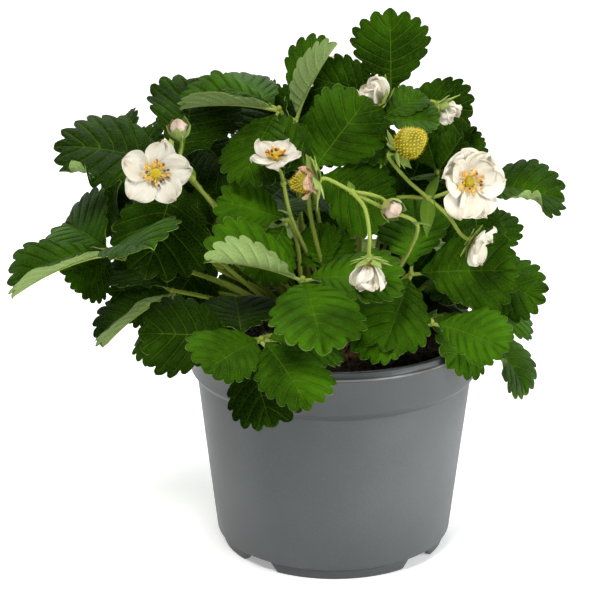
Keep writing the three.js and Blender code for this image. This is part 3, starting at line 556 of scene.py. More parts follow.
# Leaves: the same rows as the solids. Foot is a ring and slot of the crown, tip is where the three
# leaflets meet, way is heading, pitch and roll, left and right are turn, lift, twist and fold of the
# side leaflets, and tone makes a leaf lighter or darker.
leaflet = {
    "halfWidth": 0.44, "stalk": 0.08, "roundness": 0.9, "bulgeTop": 0.786, "curl": 25, "wave": 0.018,
    "toothStart": 0.22, "teeth": 7, "toothDepth": 0.135, "toothTip": 0.07, "tipWidth": 0.08, "veinPhase": 0.56,
    "toothWidth": 0.11, "rowsPerTooth": 7, "baseRows": 8, "columns": 7, "youngRowsPerTooth": 5, "youngColumns": 5,
    "thickness": 0.36, "quilt": 0.021, "rollRadius": 3.2, "rollFade": 0.16, "groove": 0.3, "grooveWidth": 0.9,
    "veinWidth": 0.55, "rib": 0.28, "uneven": 0.020, "unevenFine": 0.014, "sway": 0.016, "flutter": 0.007,
    "sideSize": 0.93, "wideShare": 1.08, "narrowShare": 0.86, "toneChange": 0.12,
    "midrib": [(0, 0.85), (0.08, 0.75), (0.2, 0.55), (0.94, 0.12)], "midribSteps": 26,
}
# Petiole and stalk are a stem's radius, the share of it that is left at the end, and its flare at the foot
stems = {
    "petiole": (1.25, 0.8, 0.9), "stalk": (1.1, 0.85, 0.8), "sideRadius": 0.782, "knob": 1.25, "forkKnob": 1.35,
    "socketDepth": 6, "steps": 44, "sideSteps": 26, "straight": 0.8, "along": 0.45, "under": 0.25, "rise": 0.42,
    "arrive": 0.3, "sheath": 7, "slim": 0.15, "hair": 1.1, "hairs": 3.2, "sideHair": 0.9, "sideHairs": 5,
}
crown = {
    "radius": 20, "height": 97, "depth": 76, "flat": 6, "slope": 0.35, "rows": 14, "sides": 60,
    "sheathTurn": 50, "sheathPitch": 62, "sheathWidth": 2.5,
}
# Rings of stems on the crown: radius, count, turn of the first and lean of all of them
footRings = [(2.5, 3, 20, 4), (6.8, 7, 10, 14), (11.6, 10, 0, 26), (16.4, 13, 12, 40), (14.2, 40, 0, 33)]
leafColumns = ("name", "foot", "tip", "way", "size", "droop", "fold", "left", "right", "tone")
leafRows = [dict(zip(leafColumns, ("leaf_" + name, *cells))) for name, *cells in (
    ("left_high", (2, 5), (-66, -17, 176), (180, 13, -28), 54, 30, 8, (84, -27, 0, 8), (88, 13, 0, 8), -0.45),
    ("left_mid", (3, 6), (-94, -38, 146), (192, -19, 0), 46, 30, 38, (112, 14, 0, 15), (70, 12, 20, 25), 0.0),
    ("left_low", (3, 7), (-70, -18, 122), (188, -36, 0), 40, 25, 40, (50, -20, 0, 20), (60, 32, 0, 25), -0.2),
    ("front_left", (3, 8), (-39, -60, 115), (180, 4, -45), 43, 20, 6, (112, -8, 0, 8), (82, -35, 0, 8), -0.38),
    ("front_rim", (3, 9), (-31, -68, 118), (-55, -28, 0), 40, 25, 14, (70, -5, 0, 12), (72, 5, 0, 12), 0.3),
    ("front_mid", (2, 7), (-14, -50, 138), (-78, -22, 0), 46, 30, 20, (72, 8, 0, 10), (98, 14, 0, 42), 0.3),
    ("front_right", (3, 11), (40, -47, 118), (-165, -4, -38), 38, 20, 8, (138, 12, 0, 10), (62, -66, 0, 10), 0.3),
    ("right_rim", (3, 12), (63, -16, 109), (-24, -54, 2), 40, 15, 15, (71, 5, 0, 15), (77, -9, 0, 15), 0.0),
    ("right_front", (2, 9), (32, -31, 134), (0, 2, 50), 46, 20, 10, (85, -16, 0, 8), (109, 17, 0, 8), 0.1),
    ("right_low", (3, 0), (56, 6, 125), (-14, -19, 35), 40, 25, 10, (76, 7, 0, 10), (74, 29, 0, 10), 0.0),
    ("right_mid", (2, 0), (59, 1, 163), (0, -6, 25), 42, 30, 20, (112, -30, 0, 12), (70, -50, 0, 10), 0.0),
    ("top_right", (1, 1), (25, 26, 195), (95, 78, 0), 40, 5, 8, (72, 0, 0, 8), (98, 0, 0, 8), -0.05),
    ("top_mid", (1, 3), (-18, 19, 188), (8, 63, 0), 39, 20, 58, (100, 16, 0, 20), (78, -33, 0, 20), 0.0),
    ("top_left", (0, 1), (-24, -4, 199), (177, 2, -2), 43, 25, 40, (61, -42, 0, 15), (42, 10, 0, 10), -0.05),
    ("centre", (1, 5), (-11, -29, 177), (30, 46, 50), 42, 15, 8, (85, -25, 0, 8), (72, -14, 0, 8), -0.02),
    ("inner_right", (1, 0), (18, -4, 194), (-14, 2, 22), 27, 20, 15, (42, 5, 0, 15), (74, -13, 0, 15), 0.1),
    ("inner_left", (2, 6), (-20, -26, 156), (172, 15, -45), 32, 15, 10, (75, -25, 0, 10), (70, -45, 0, 10), 0.12),
    ("back_left_high", (2, 4), (-52, 42, 162), (140, -15, 0), 42, 30, 12, (75, 5, 0, 12), (75, 5, 0, 12), 0.1),
    ("back_high", (2, 3), (-6, 66, 148), (98, -20, 0), 42, 30, 12, (75, 5, 0, 12), (75, 5, 0, 12), 0.0),
    ("back_right_high", (2, 1), (32, 63, 160), (50, -15, 0), 42, 30, 12, (75, 5, 0, 12), (66, 8, 0, 12), 0.15),
    ("back_right", (3, 1), (60, 42, 122), (24, -35, 0), 38, 30, 12, (75, 5, 0, 12), (58, 0, 0, 12), -0.15),
    ("back_left", (3, 5), (-76, 36, 126), (160, -30, 0), 40, 30, 12, (70, 5, 0, 12), (70, 5, 0, 12), -0.25),
    ("back_low", (3, 2), (18, 77, 116), (76, -40, 0), 42, 30, 12, (72, -5, 0, 12), (75, 5, 0, 12), 0.1),
    ("back_low_left", (3, 4), (-36, 82, 118), (112, -42, 0), 40, 30, 12, (70, 0, 0, 12), (75, 5, 0, 12), 0.0),
    ("behind_left", (1, 2), (-62, 27, 179), (19, 28, 30), 37, 25, 9, (76, -24, 0, 12), (82, -1, 0, 12), -0.35),
    ("behind_right", (4, 6), (39, 48, 155), (284, -25, -11), 41, 25, 12, (99, -28, 0, 12), (80, -3, 0, 12), -0.35),
    ("side_left", (4, 22), (-56, 20, 129), (168, 39, -28), 44, 25, 21, (96, -3, 0, 12), (88, -20, 0, 12), -0.3),
    ("behind_middle", (2, 2), (-20, 33, 156), (243, -11, -23), 37, 25, 18, (87, 9, 0, 12), (97, 16, 0, 12), -0.4),
    ("far_left", (4, 18), (-94, 24, 162), (93, 41, -45), 33, 25, 20, (109, -27, 0, 12), (81, 7, 0, 12), -0.3),
)]
# Turned edges: the leaflet, its side, where the turn starts across, degrees, and from and to along
leafRolls = {
    "leaf_left_high": [(0, 1, 0.6, 150, 0.62, 1.0)],
    "leaf_front_mid": [(2, 1, 0.12, 74, 0.02, 1.0)],
    "leaf_right_rim": [(0, -1, 0.5, 150, 0.04, 0.6)],
    "leaf_right_front": [(0, -1, 0.66, 150, 0.08, 0.6)],
    "leaf_right_mid": [(0, -1, 0.5, 150, 0.15, 0.72)],
}
# Small young leaves that stand between the others: name, slot in the outer ring, tip, way, size,
# turn of the side leaflets, tone, and where it isn't as usual the fold of the middle and side leaflets
youngRing, youngDroop = 4, 25


def youngRow(name, slot, tip, way, size, turn, tone, fold=14, sideFold=12):
    side = (turn, 0, 0, sideFold)
    cells = ("young_" + name, (youngRing, slot), tip, way, size, youngDroop, fold, side, side, tone)
    return dict(zip(leafColumns, cells))


youngRows = [youngRow(*row) for row in (
    ("right", 4, (29, 24, 110), (0, 46, 75), 24, 40, -0.2),
    ("low_left", 17, (-31, 18, 107), (170, 20, -69), 23, 36, -0.2),
    ("far_left", 21, (-96, -8, 134), (-151, -7, -69), 25, 26, -0.2),
    ("side_left", 20, (-76, 2, 118), (-156, 0, -72), 25, 28, -0.25),
    ("left", 16, (-52, 20, 139), (150, 66, -54), 20, 45, -0.2),
    ("top_right", 2, (45, 16, 165), (28, 50, 57), 20, 50, -0.2),
    ("middle", 28, (-5, -18, 131), (114, 78, -24), 21, 30, 0.15, 30, 25),
    ("back_right", 5, (29, 32, 144), (10, 66, 72), 29, 40, -0.25),
    ("inner", 11, (-7, 34, 131), (16, 68, 69), 20, 30, -0.25),
    ("flower_left", 18, (-87, 30, 134), (180, 60, -78), 27, 28, -0.25),
    ("low_middle", 12, (-9, 28, 109), (166, 64, -69), 19, 30, -0.25),
    ("bloom_left", 15, (-58, 34, 149), (156, 64, -60), 22, 26, -0.3),
    ("berry_left", 13, (-13, 40, 140), (154, 66, -60), 22, 24, -0.3),
    ("top", 14, (-15, 30, 184), (135, 73, -42), 19, 24, -0.25),
    ("far_right", 3, (51, 34, 164), (9, 54, 69), 21, 24, -0.25),
)]


def leafletGrid(rowsPerTooth, columns):
    # one flat leaflet as a net of points whose rows follow the side veins out to the teeth
    start, teeth, tip, stalk = (leaflet[name] for name in ("toothStart", "teeth", "veinPhase", "stalk"))
    step = (1 - start) / (teeth + tip)
    baseRows = np.linspace(0, start, leaflet["baseRows"], endpoint=False)
    toothRows = np.arange(0, teeth + tip, 1 / rowsPerTooth)
    t = np.concatenate([baseRows, start + step * toothRows, [1.0]])
    phase = (t - start) / step
    turn = math.pi * t
    bulge = np.sin(turn) * np.sin(turn / 2) ** leaflet["roundness"] / leaflet["bulgeTop"]
    edgeU = stalk + (1 - stalk) * (1 - np.cos(turn)) / 2
    part = phase - np.floor(phase)
    peak = math.log(0.5) / math.log(tip)
    point = leaflet["toothTip"] * np.exp(-(((part - tip) / leaflet["tipWidth"]) ** 2))
    tooth = np.sin(math.pi * part ** peak) ** 0.5 + point
    tooth = np.where(phase < 0, 1 - (t / start) ** 2, tooth)
    cut = 1 - leaflet["toothDepth"] * (1 - tooth)
    rootU = stalk + (1 - stalk) * 0.88 * t ** 1.6
    r = np.linspace(0, 1, columns + 1) ** 0.9
    bend = r[None] ** 1.25
    late = r[None] ** 5
    u = rootU[:, None] + (edgeU - rootU)[:, None] * bend + ((edgeU - 0.5) * (cut - 1))[:, None] * late
    y = bulge[:, None] * r[None] * (1 + (cut - 1)[:, None] * late / np.maximum(r[None], 1e-6))
    rows, columns = u.shape
    quads = gridFaces(rows, columns)
    both = {"u": np.tile(u.ravel(), 2), "y": np.concatenate([y.ravel(), -y.ravel()]),
            "phase": np.tile(np.repeat(phase, columns), 2), "out": np.tile(np.tile(r, rows), 2)}
    faces = np.concatenate([quads[:, ::-1], quads + rows * columns])
    # the two halves share their points along the midrib, and the tip's quads close to triangles
    keys = np.round(np.stack([both["u"], both["y"]], -1) * 1e5).astype(int)
    _, first, back = np.unique(keys, axis=0, return_index=True, return_inverse=True)
    corners = [[c for k, c in enumerate(face) if c != face[k - 1]] for face in back.ravel()[faces]]
    groups = [[face for face in corners if len(set(face)) == size] for size in (4, 3)]
    groups = [np.array(group) for group in groups if group]
    edges = np.concatenate([np.stack([group, np.roll(group, -1, axis=1)], -1).reshape(-1, 2) for group in groups])
    known = {tuple(edge) for edge in edges.tolist()}
    grid = {name: value[first] for name, value in both.items()}
    grid["faces"] = groups
    grid["rim"] = np.array([edge for edge in edges.tolist() if (edge[1], edge[0]) not in known])
    return grid


def skin(form, u, y):
    # place and upward normal of a leaflet's sheet
    a, s, n = form["axes"]
    droop = math.radians(form["droop"])
    start = 0.4 * droop
    angle = (start - droop * u)[:, None]
    bow = form["length"] / droop
    along = bow * (math.sin(start) - np.sin(angle))
    rise = bow * (np.cos(angle) - math.cos(start))
    reach = np.abs(y)[:, None]
    fold = math.radians(form["fold"]) - math.radians(leaflet["curl"]) * (reach / form["length"])
    out = np.sign(y)[:, None] * reach * np.cos(fold)
    ripple = leaflet["wave"] * np.sin(11 * u + form["phase"])[:, None] * reach * 2
    normal = n * np.cos(angle) - a * np.sin(angle)
    place = form["base"] + a * along + n * rise + s * out + normal * (reach * np.sin(fold) + ripple)
    tilt = fold * np.tanh(y / 1.2)[:, None]
    return place, unit(normal * np.cos(tilt) - s * np.sin(tilt))


def rollEdge(form, u, y):
    # the sheet again, with the part beyond a line across it turned up and over
    place, face = skin(form, u, y)
    radius, fade = leaflet["rollRadius"], leaflet["rollFade"]
    for side, share, degrees, start, end in form["rolls"]:
        window = np.clip((u - start) / fade, 0, 1) * np.clip((end - u) / fade + (end > 0.99), 0, 1)
        window = window ** 2 * (3 - 2 * window)
        limit = share * form["length"] * leaflet["halfWidth"]
        beyond = np.where(np.sign(y) == side, np.maximum(np.abs(y) - limit, 0), 0)
        edge, normal = skin(form, u, np.clip(y, -limit, limit))
        outward = unit(place - edge + 1e-9 * normal)
        turn = (np.minimum(beyond / radius, math.radians(degrees)) * window)[:, None]
        rest = np.maximum(beyond[:, None] - radius * turn, 0)
        bent = radius * np.sin(turn) + rest * np.cos(turn)
        lifted = radius * (1 - np.cos(turn)) + rest * np.sin(turn)
        active = turn > 1e-4
        place = np.where(active, edge + outward * bent + normal * lifted, place)
        face = np.where(active, unit(normal * np.cos(turn) - outward * np.sin(turn)), face)
    return place, face


def addLeaflet(piece, form, grid):
    length = form["length"]
    wide = np.where(grid["y"] > 0, *form["shares"]) * length * leaflet["halfWidth"]
    phases = dice.uniform(0, 6.28, 4)
    turn = np.arctan2(grid["y"], grid["u"] - 0.5)
    wobble = leaflet["uneven"] * np.sin(4 * turn + phases[2])
    wobble = wobble + leaflet["unevenFine"] * np.sin(9 * turn + phases[3])
    out = grid["out"]
    uneven = 1 + out ** 3 * wobble
    u = 0.5 + (grid["u"] - 0.5) * uneven
    y = grid["y"] * wide * uneven
    place, face = rollEdge(form, u, y)
    part = grid["phase"] - leaflet["veinPhase"]
    aside = np.abs(part - np.round(part)) * leaflet["toothWidth"] * length
    vein = np.exp(-((aside / leaflet["veinWidth"]) ** 2))
    lump = (1 - vein) * np.sqrt(out) * (1 - out ** 4) * leaflet["quilt"] * length
    sway = leaflet["sway"] * length * out ** 2 * np.sin(9 * u + 2.5 * np.sign(y) + phases[0])
    flutter = leaflet["flutter"] * length * out ** 4 * np.sin(23 * u + phases[1] + np.sign(y))
    groove = -leaflet["groove"] * np.exp(-((y / leaflet["grooveWidth"]) ** 2))
    upper = place + face * (lump + sway + flutter + groove)[:, None]
    lower = upper - face * (leaflet["thickness"] + leaflet["rib"] * vein * (1 - out))[:, None]
    count = len(upper)
    first, second = grid["rim"][:, 0], grid["rim"][:, 1]
    rim = np.stack([second, first, first + count, second + count], -1)
    faces = grid["faces"] + [group[:, ::-1] + count for group in grid["faces"]] + [rim]
    piece.add(np.concatenate([upper, lower]), faces, under=np.repeat([0.0, 1.0], count), tone=form["tone"],
              out=np.tile(out, 2), off=np.tile(np.abs(y), 2), phase=np.tile(grid["phase"], 2), along=1)
    spine = np.linspace(0, leaflet["midrib"][-1][0], leaflet["midribSteps"])
    middle, face = skin(form, spine, 0 * spine)
    radii = np.interp(spine, *zip(*leaflet["midrib"]))
    under = leaflet["thickness"] + leaflet["groove"] + 0.7 * radii
    tube(piece, middle - face * under[:, None], radii, 8, stem=0.75, tone=0.3, along=1, under=1)


def footAt(ring, slot):
    radius, count, turn, lean = footRings[ring]
    angle = math.radians(turn + slot * 360 / count)
    out = vec(math.cos(angle), math.sin(angle), 0)
    way = out * math.sin(math.radians(lean)) + vec(0, 0, math.cos(math.radians(lean)))
    top = out * radius + vec(0, 0, crown["height"] - crown["slope"] * max(0, radius - crown["flat"]))
    return top, way, top - way * stems["socketDepth"]


def petiolePath(row, axes):
    top, way, bottom = footAt(*row["foot"])
    tip = vec(*row["tip"])
    span = np.linalg.norm(tip - top)
    end = unit(unit(tip - top) * stems["straight"] + axes[0] * stems["along"] + axes[2] * stems["under"])
    leave = top + way * stems["rise"] * span
    arrive = tip - end * stems["arrive"] * span
    t = np.linspace(0, 1, stems["steps"])[:, None]
    return (1 - t) ** 3 * bottom + 3 * t * (1 - t) ** 2 * leave + 3 * t ** 2 * (1 - t) * arrive + t ** 3 * tip


def stemRadii(path, radius, endShare, flare):
    # a stem tapers up its length and widens into a sheath at its foot
    run = runAlong(path)
    taper = radius * (1 + (endShare - 1) * run / run[-1])
    sheath = flare * np.exp(-((run - stems["socketDepth"]) / stems["sheath"]).clip(0) ** 2) * (run > 0)
    return taper + sheath - stems["slim"], run / run[-1]


def addStem(piece, path, form, tone):
    radii, share = stemRadii(path, *form)
    tube(piece, path, radii, stem=1, tone=tone, along=share)
    hairs(piece, path[4:], radii[4:], int(runAlong(path)[-1] * stems["hairs"]), stems["hair"])


def addKnob(piece, place, radius, tone):
    points, faces = ball(8, 10)
    piece.add(vec(*place) + points * radius, faces, stem=1, tone=tone, along=1)


# what the green finish reads
greenMarks = ("tone", "under", "stem", "out", "off", "phase", "along")


def makeLeaf(row, grid, finish, nodes):
    piece = Piece(*greenMarks)
    axes = axesOf(*row["way"])
    addStem(piece, petiolePath(row, axes), stems["petiole"], 0.1 + row["tone"])
    addKnob(piece, row["tip"], stems["knob"], 0.2)
    blades = [(axes, row["size"], (1, 1), row["fold"])]
    shares = (leaflet["wideShare"], leaflet["narrowShare"])
    for side, (turn, lift, twist, fold) in ((1, row["left"]), (-1, row["right"])):
        sideAxes = turned(axes, side * turn, lift, side * twist)
        blades.append((sideAxes, row["size"] * leaflet["sideSize"], shares[::side], fold))
    for k, (bladeAxes, length, shares, fold) in enumerate(blades):
        tone = row["tone"] + dice.uniform(-leaflet["toneChange"], leaflet["toneChange"])
        rolls = [roll for which, *roll in leafRolls.get(row["name"], []) if which == k]
        form = {"base": vec(*row["tip"]), "axes": bladeAxes, "length": length, "shares": shares, "fold": fold,
                "droop": row["droop"], "phase": row["tip"][0], "tone": tone, "rolls": rolls}
        addLeaflet(piece, form, grid)
    return show(piece, row["name"] + "_grown", finish, nodes)


# Flowers: the same places as the solids. At is the back of the petals, facing is heading and pitch
# of the flower's axis, open is the angle of the petals from it.
# A bloom marked fresh takes the brighter petal finish, which is painted light for flowers in shade.
usualBloom = {
    "turn": 0, "petals": [(72 * k, 1) for k in range(5)], "inner": [], "middle": 0.16, "stamen": 0.8, "lean": 8,
    "brown": 0.3, "fresh": False,
}
blooms = [{**usualBloom, **row} for row in (
    {"name": "bloom_left", "at": (-74, -50, 183), "facing": (-82, 18), "turn": 8, "size": 14.5, "open": 80,
     "calyx": 7, "spread": 94, "middle": 0.12, "stamen": 2.0, "lean": 52, "brown": 0.5, "rough": 1.5},
    {"name": "bloom_inner", "at": (-25, -34, 185), "facing": (-100, 76), "size": 11, "open": 84,
     "calyx": 6, "spread": 98, "stamen": 1.6, "lean": 38, "brown": 0.5, "rough": 1.5},
    {"name": "bloom_right", "at": (55, -30, 174), "facing": (-75, 14), "turn": 20, "size": 15.5, "open": 72,
     "petals": [(-18, 1), (34, 0.98), (80, 1.06), (146, 0.98), (226, 1.1), (272, 1.06)], "inner": [8, 108],
     "calyx": 8, "spread": 86, "middle": 0.12, "stamen": 2.7, "lean": 34, "brown": 0.15, "rough": 1.6,
     "fresh": True},
    {"name": "bloom_right_low", "at": (57, -38, 150), "facing": (-25, -24), "size": 11, "open": 70,
     "calyx": 8, "spread": 88, "stamen": 1.4, "lean": 40, "rough": 1.6, "fresh": True},
    {"name": "bloom_hanging", "at": (13, -66, 151), "facing": (-80, -80), "size": 12, "open": 32,
     "calyx": 9, "spread": 78, "inner": [36, 150, 260], "rough": 2.0, "fresh": True},
    {"name": "bloom_top", "at": (20, 4, 199), "facing": (200, 46), "turn": 30, "size": 12, "open": 42,
     "calyx": 12, "spread": 62, "rough": 1.8, "fresh": True},
    {"name": "bloom_top_small", "at": (45, 4, 198), "facing": (-15, -30), "size": 9, "open": 38,
     "calyx": 9, "spread": 66, "rough": 2.0, "fresh": True},
    {"name": "bloom_back", "at": (2, 74, 192), "facing": (110, 40), "size": 13.5, "open": 78,
     "calyx": 7, "spread": 92, "stamen": 1.5, "lean": 55, "rough": 1.2},
)]
halfOpen = 45
headColumns = ("name", "at", "facing", "radius", "length", "calyx", "seeds")
buds = [dict(zip(headColumns, row)) for row in (
    ("bud_left", (-65, -27, 193), (-110, 70), 3.8, 8.5, 5.5),
    ("bud_middle", (21, -55, 171), (-60, -20), 3.9, 7.5, 5.5),
    ("bud_back", (26, 70, 187), (60, 50), 3.6, 8, 5.5),
    ("bud_left_small", (-70, -31, 188), (160, 60), 2.6, 5, 4),
)]
berries = [dict(zip(headColumns, row)) for row in (
    ("berry_small", (-9, -60, 183), (188, -8), 4.6, 11, 12, 130),
    ("berry_large", (25, -31, 188), (-12, 32), 6.9, 15, 9, 230),
)]
heads = {head["name"]: head for head in blooms + buds + berries}
seat = {
    "calyxDrop": 0.7, "gap": 0.3, "berryCalyx": 86, "fruitDrop": 0.35, "calyxHairs": 40, "sepals": 10,
    "narrowSpread": 8, "narrowLength": 0.82, "wide": 0.27, "narrow": 0.16, "budWide": 40, "budNarrow": 20,
}
trusses = [
    {"name": "truss_left", "foot": (1, 4), "stalk": [(-26, -12, 128), (-46, -17, 152), (-60, -26, 174)],
     "sides": [("bloom_left", (-67, -38, 181)), ("bud_left", (-65, -27, 183)),
               ("bud_left_small", (-68, -29, 184))],
     "bracts": [((-60, -26, 174), 120, 50, 9)]},
    {"name": "truss_middle", "foot": (2, 8),
     "stalk": [(23, -33, 132), (31, -42, 149), (33, -48, 161), (20, -54, 169), (6, -56, 177)],
     "sides": [("berry_small", (0, -58, 181)), ("bloom_hanging", (11, -62, 172), (13, -66, 161)),
               ("bud_middle", (13, -56, 176))],
     "bracts": [((33, -48, 161), -60, 20, 10), ((6, -56, 177), 100, 30, 7)]},
    {"name": "truss_right", "foot": (1, 6),
     "stalk": [(14, -10, 132), (18, -16, 160), (29, -22, 165), (39, -28, 166)],
     "sides": [("bloom_right", (48, -27, 169)), ("bloom_right_low", (47, -34, 160), (52, -36, 153)),
               ("berry_large", (29, -28, 175))],
     "bracts": [((39, -28, 166), -100, -60, 16), ((39, -28, 166), 60, 50, 12)]},
    {"name": "truss_top", "foot": (0, 0), "stalk": [(12, 9, 140), (20, 17, 168), (24, 19, 187)],
     "sides": [("bloom_top", (24, 12, 195)), ("bloom_top_small", (34, 11, 194))],
     "bracts": [((24, 19, 187), 40, 20, 8)]},
    {"name": "truss_inner", "foot": (0, 2), "stalk": [(-9, -12, 130), (-19, -33, 160), (-22, -36, 175)],
     "sides": [("bloom_inner", (-23, -34, 179))],
     "bracts": [((-19, -33, 160), 215, 40, 7)]},
    {"name": "truss_back", "foot": (3, 3), "stalk": [(1, 36, 126), (6, 50, 156), (10, 60, 176)],
     "sides": [("bloom_back", (4, 66, 186)), ("bud_back", (20, 66, 182))],
     "bracts": [((10, 60, 176), 60, 20, 10)]},
]


def headAxes(head):
    return axesOf(*head["facing"], head.get("turn", 0))


def seatOf(head, axes):
    # the point under a head where its stalk ends
    return vec(*head["at"]) - axes[0] * (seat["calyxDrop"] + seat["gap"])


def smoothPath(points, steps):
    # an even walk along the centripetal curve through the points
    points = [vec(*point) for point in points]
    points = [2 * points[0] - points[1], *points, 2 * points[-1] - points[-2]]
    fine = []
    for i in range(1, len(points) - 2):
        p0, p1, p2, p3 = points[i - 1:i + 3]
        d0, d1, d2 = (max(np.linalg.norm(b - a) ** 0.5, 1e-4) for a, b in ((p0, p1), (p1, p2), (p2, p3)))
        m1 = ((p1 - p0) / d0 - (p2 - p0) / (d0 + d1) + (p2 - p1) / d1) * d1
        m2 = ((p2 - p1) / d1 - (p3 - p1) / (d1 + d2) + (p3 - p2) / d2) * d1
        square, cube = -3 * p1 + 3 * p2 - 2 * m1 - m2, 2 * p1 - 2 * p2 + m1 + m2
        t = np.linspace(0, 1, 16, endpoint=i == len(points) - 3)[:, None]
        fine.append(p1 + m1 * t + square * t ** 2 + cube * t ** 3)
    fine = np.concatenate(fine)
    run = runAlong(fine)
    even = np.linspace(0, run[-1], steps)
    return np.stack([np.interp(even, run, fine[:, k]) for k in range(3)], -1)


def addBlade(piece, grid, thickness, u, v, half, **marks):
    # a small green sheet, with its distance from the middle for the finish
    flat = 0 * u * v
    slab(piece, grid, thickness, off=np.abs(v * half) + flat, out=np.abs(v) + flat, phase=0.08 + flat, **marks)


def pointedBlade(piece, base, axes, length, width, bend, cup, **marks):
    # a sepal or bract: a small pointed blade, broadest below its middle
    a, s, n = axes
    u, v = net(12, 7)
    half = width * (0.35 + 0.65 * np.sin(math.pi * np.clip(u * 0.9 + 0.12, 0, 1)) ** 0.8) * (1 - u ** 3) + 0.04
    lift = length * u * np.tan(math.radians(bend) * u) * 0.6
    grid = (base + a * (length * u)[..., None] + s * (v * half)[..., None]
            + n * (lift + cup * half * v ** 2)[..., None])
    addBlade(piece, grid, 0.3, u, v, half, **marks)


def claspingSepal(piece, head, axes, turn, wideOne):
    # a sepal that lies against a closed bud and lets its tip stand away a little
    a, s, n = axes
    u, v = net(12, 7)
    reach = head["length"] * (0.98 if wideOne else 0.8) * dice.uniform(0.8, 1.1)
    shape = (0.4 + 0.6 * np.sin(math.pi * np.clip(u * 0.85 + 0.12, 0, 1))) * (1 - u ** 3)
    half = math.radians(seat["budWide" if wideOne else "budNarrow"]) * shape
    share = np.clip(u * reach / head["length"], 0, 1)
    radius = head["radius"] * np.sin(math.pi * np.clip(0.16 + 0.62 * share, 0, 1)) ** 0.7 * 1.08
    radius = radius + (0.45 if wideOne else 0.15) + 1.1 * u ** 4 * dice.uniform(0.3, 1.4)
    radius = radius * (1 - 0.5 * (1 - u) ** 6)
    out = around(math.radians(turn) + half * v, s, n)
    grid = seatOf(head, axes) + a * (u * reach * 0.96)[..., None] + out * radius[..., None]
    ruddy = 100 < turn % 360 < 235
    addBlade(piece, grid, 0.25, u, v, 1.2, tone=0.75 + dice.uniform(-0.15, 0.15), stem=0.8 if ruddy else 0.45,
             along=0.04 if ruddy else 1)


def addCalyx(piece, head, axes):
    # five sepals with five narrower ones between and behind them
    centre = seatOf(head, axes)
    opening = head.get("spread", seat["berryCalyx"])
    for i in range(seat["sepals"]):
        wideOne = i % 2 == 0
        turn = 360 * i / seat["sepals"]
        spread = opening + dice.uniform(-5, 5) + (0 if wideOne else seat["narrowSpread"])
        way = openAxes(axes, turn + dice.uniform(-4, 4), spread)
        length = head["calyx"] * (1 if wideOne else seat["narrowLength"]) * dice.uniform(0.9, 1.08)
        base = centre + way[0] * 0.7 + axes[0] * (0 if wideOne else -0.25)
        if head in buds:
            claspingSepal(piece, head, axes, turn + dice.uniform(-5, 5), wideOne)
            continue
        if head in berries:
            twist = dice.uniform(-50, 50)
            way = (way[0], spin(way[1], way[0], twist), spin(way[2], way[0], twist))
        width = length * seat["wide" if wideOne else "narrow"]
        pointedBlade(piece, base, way, length, width, 12, 0.25, tone=0.85 + dice.uniform(-0.1, 0.1), stem=0.6,
                     along=1)
    hub = centre + axes[0] * vec(-1.6, -0.8, 0, 0.3)[:, None]
    tube(piece, hub, [0.9, 1.6, 2.0, 1.2], 14, stem=0.9, tone=0.35, along=1)
    count = seat["calyxHairs"]
    dice.uniform(0, 360, count)        # keeps the later draws as they are
    root = centre + axes[0] * vec(-1.6, -0.6, -0.2)[:, None]
    hairs(piece, root, [1.5, 1.8, 1.9], count, 1.0)


def makeTruss(truss, finish):
    piece = Piece(*greenMarks)
    top, way, bottom = footAt(*truss["foot"])
    stalk = [bottom, top, top + way * stems["socketDepth"], *truss["stalk"]]
    addStem(piece, smoothPath(stalk, stems["steps"]), stems["stalk"], 0.45)
    fork = truss["stalk"][-1]
    addKnob(piece, fork, stems["forkKnob"], 0.4)
    for name, *via in truss["sides"]:
        axes = headAxes(heads[name])
        centre = seatOf(heads[name], axes)
        side = smoothPath([fork, *via, centre - axes[0] * 3, centre + axes[0] * 0.2], stems["sideSteps"])
        radii = np.full(len(side), stems["sideRadius"])
        tube(piece, side, radii, 9, stem=1, tone=0.5, along=1)
        hairs(piece, side, radii, int(runAlong(side)[-1] * stems["sideHairs"]), stems["sideHair"])
        addCalyx(piece, heads[name], axes)
    for place, heading, pitch, length in truss["bracts"]:
        pointedBlade(piece, vec(*place), axesOf(heading, pitch, 0), length, length * 0.2, -14, 0.5,
                     tone=0.5, stem=0.25, along=1)
    return show(piece, truss["name"] + "_grown", finish, [truss["name"]])


petal = {
    "thickness": 0.26, "rows": 22, "columns": 21, "claw": 0.16, "halfWidth": 0.47, "cup": 0.2, "overlap": 0.1,
    "ruffle": 0.034, "fineRuffle": 0.020, "crease": 0.018, "dent": 0.05, "curve": 0.22, "disc": (2.2, 2.2, 0.35),
}


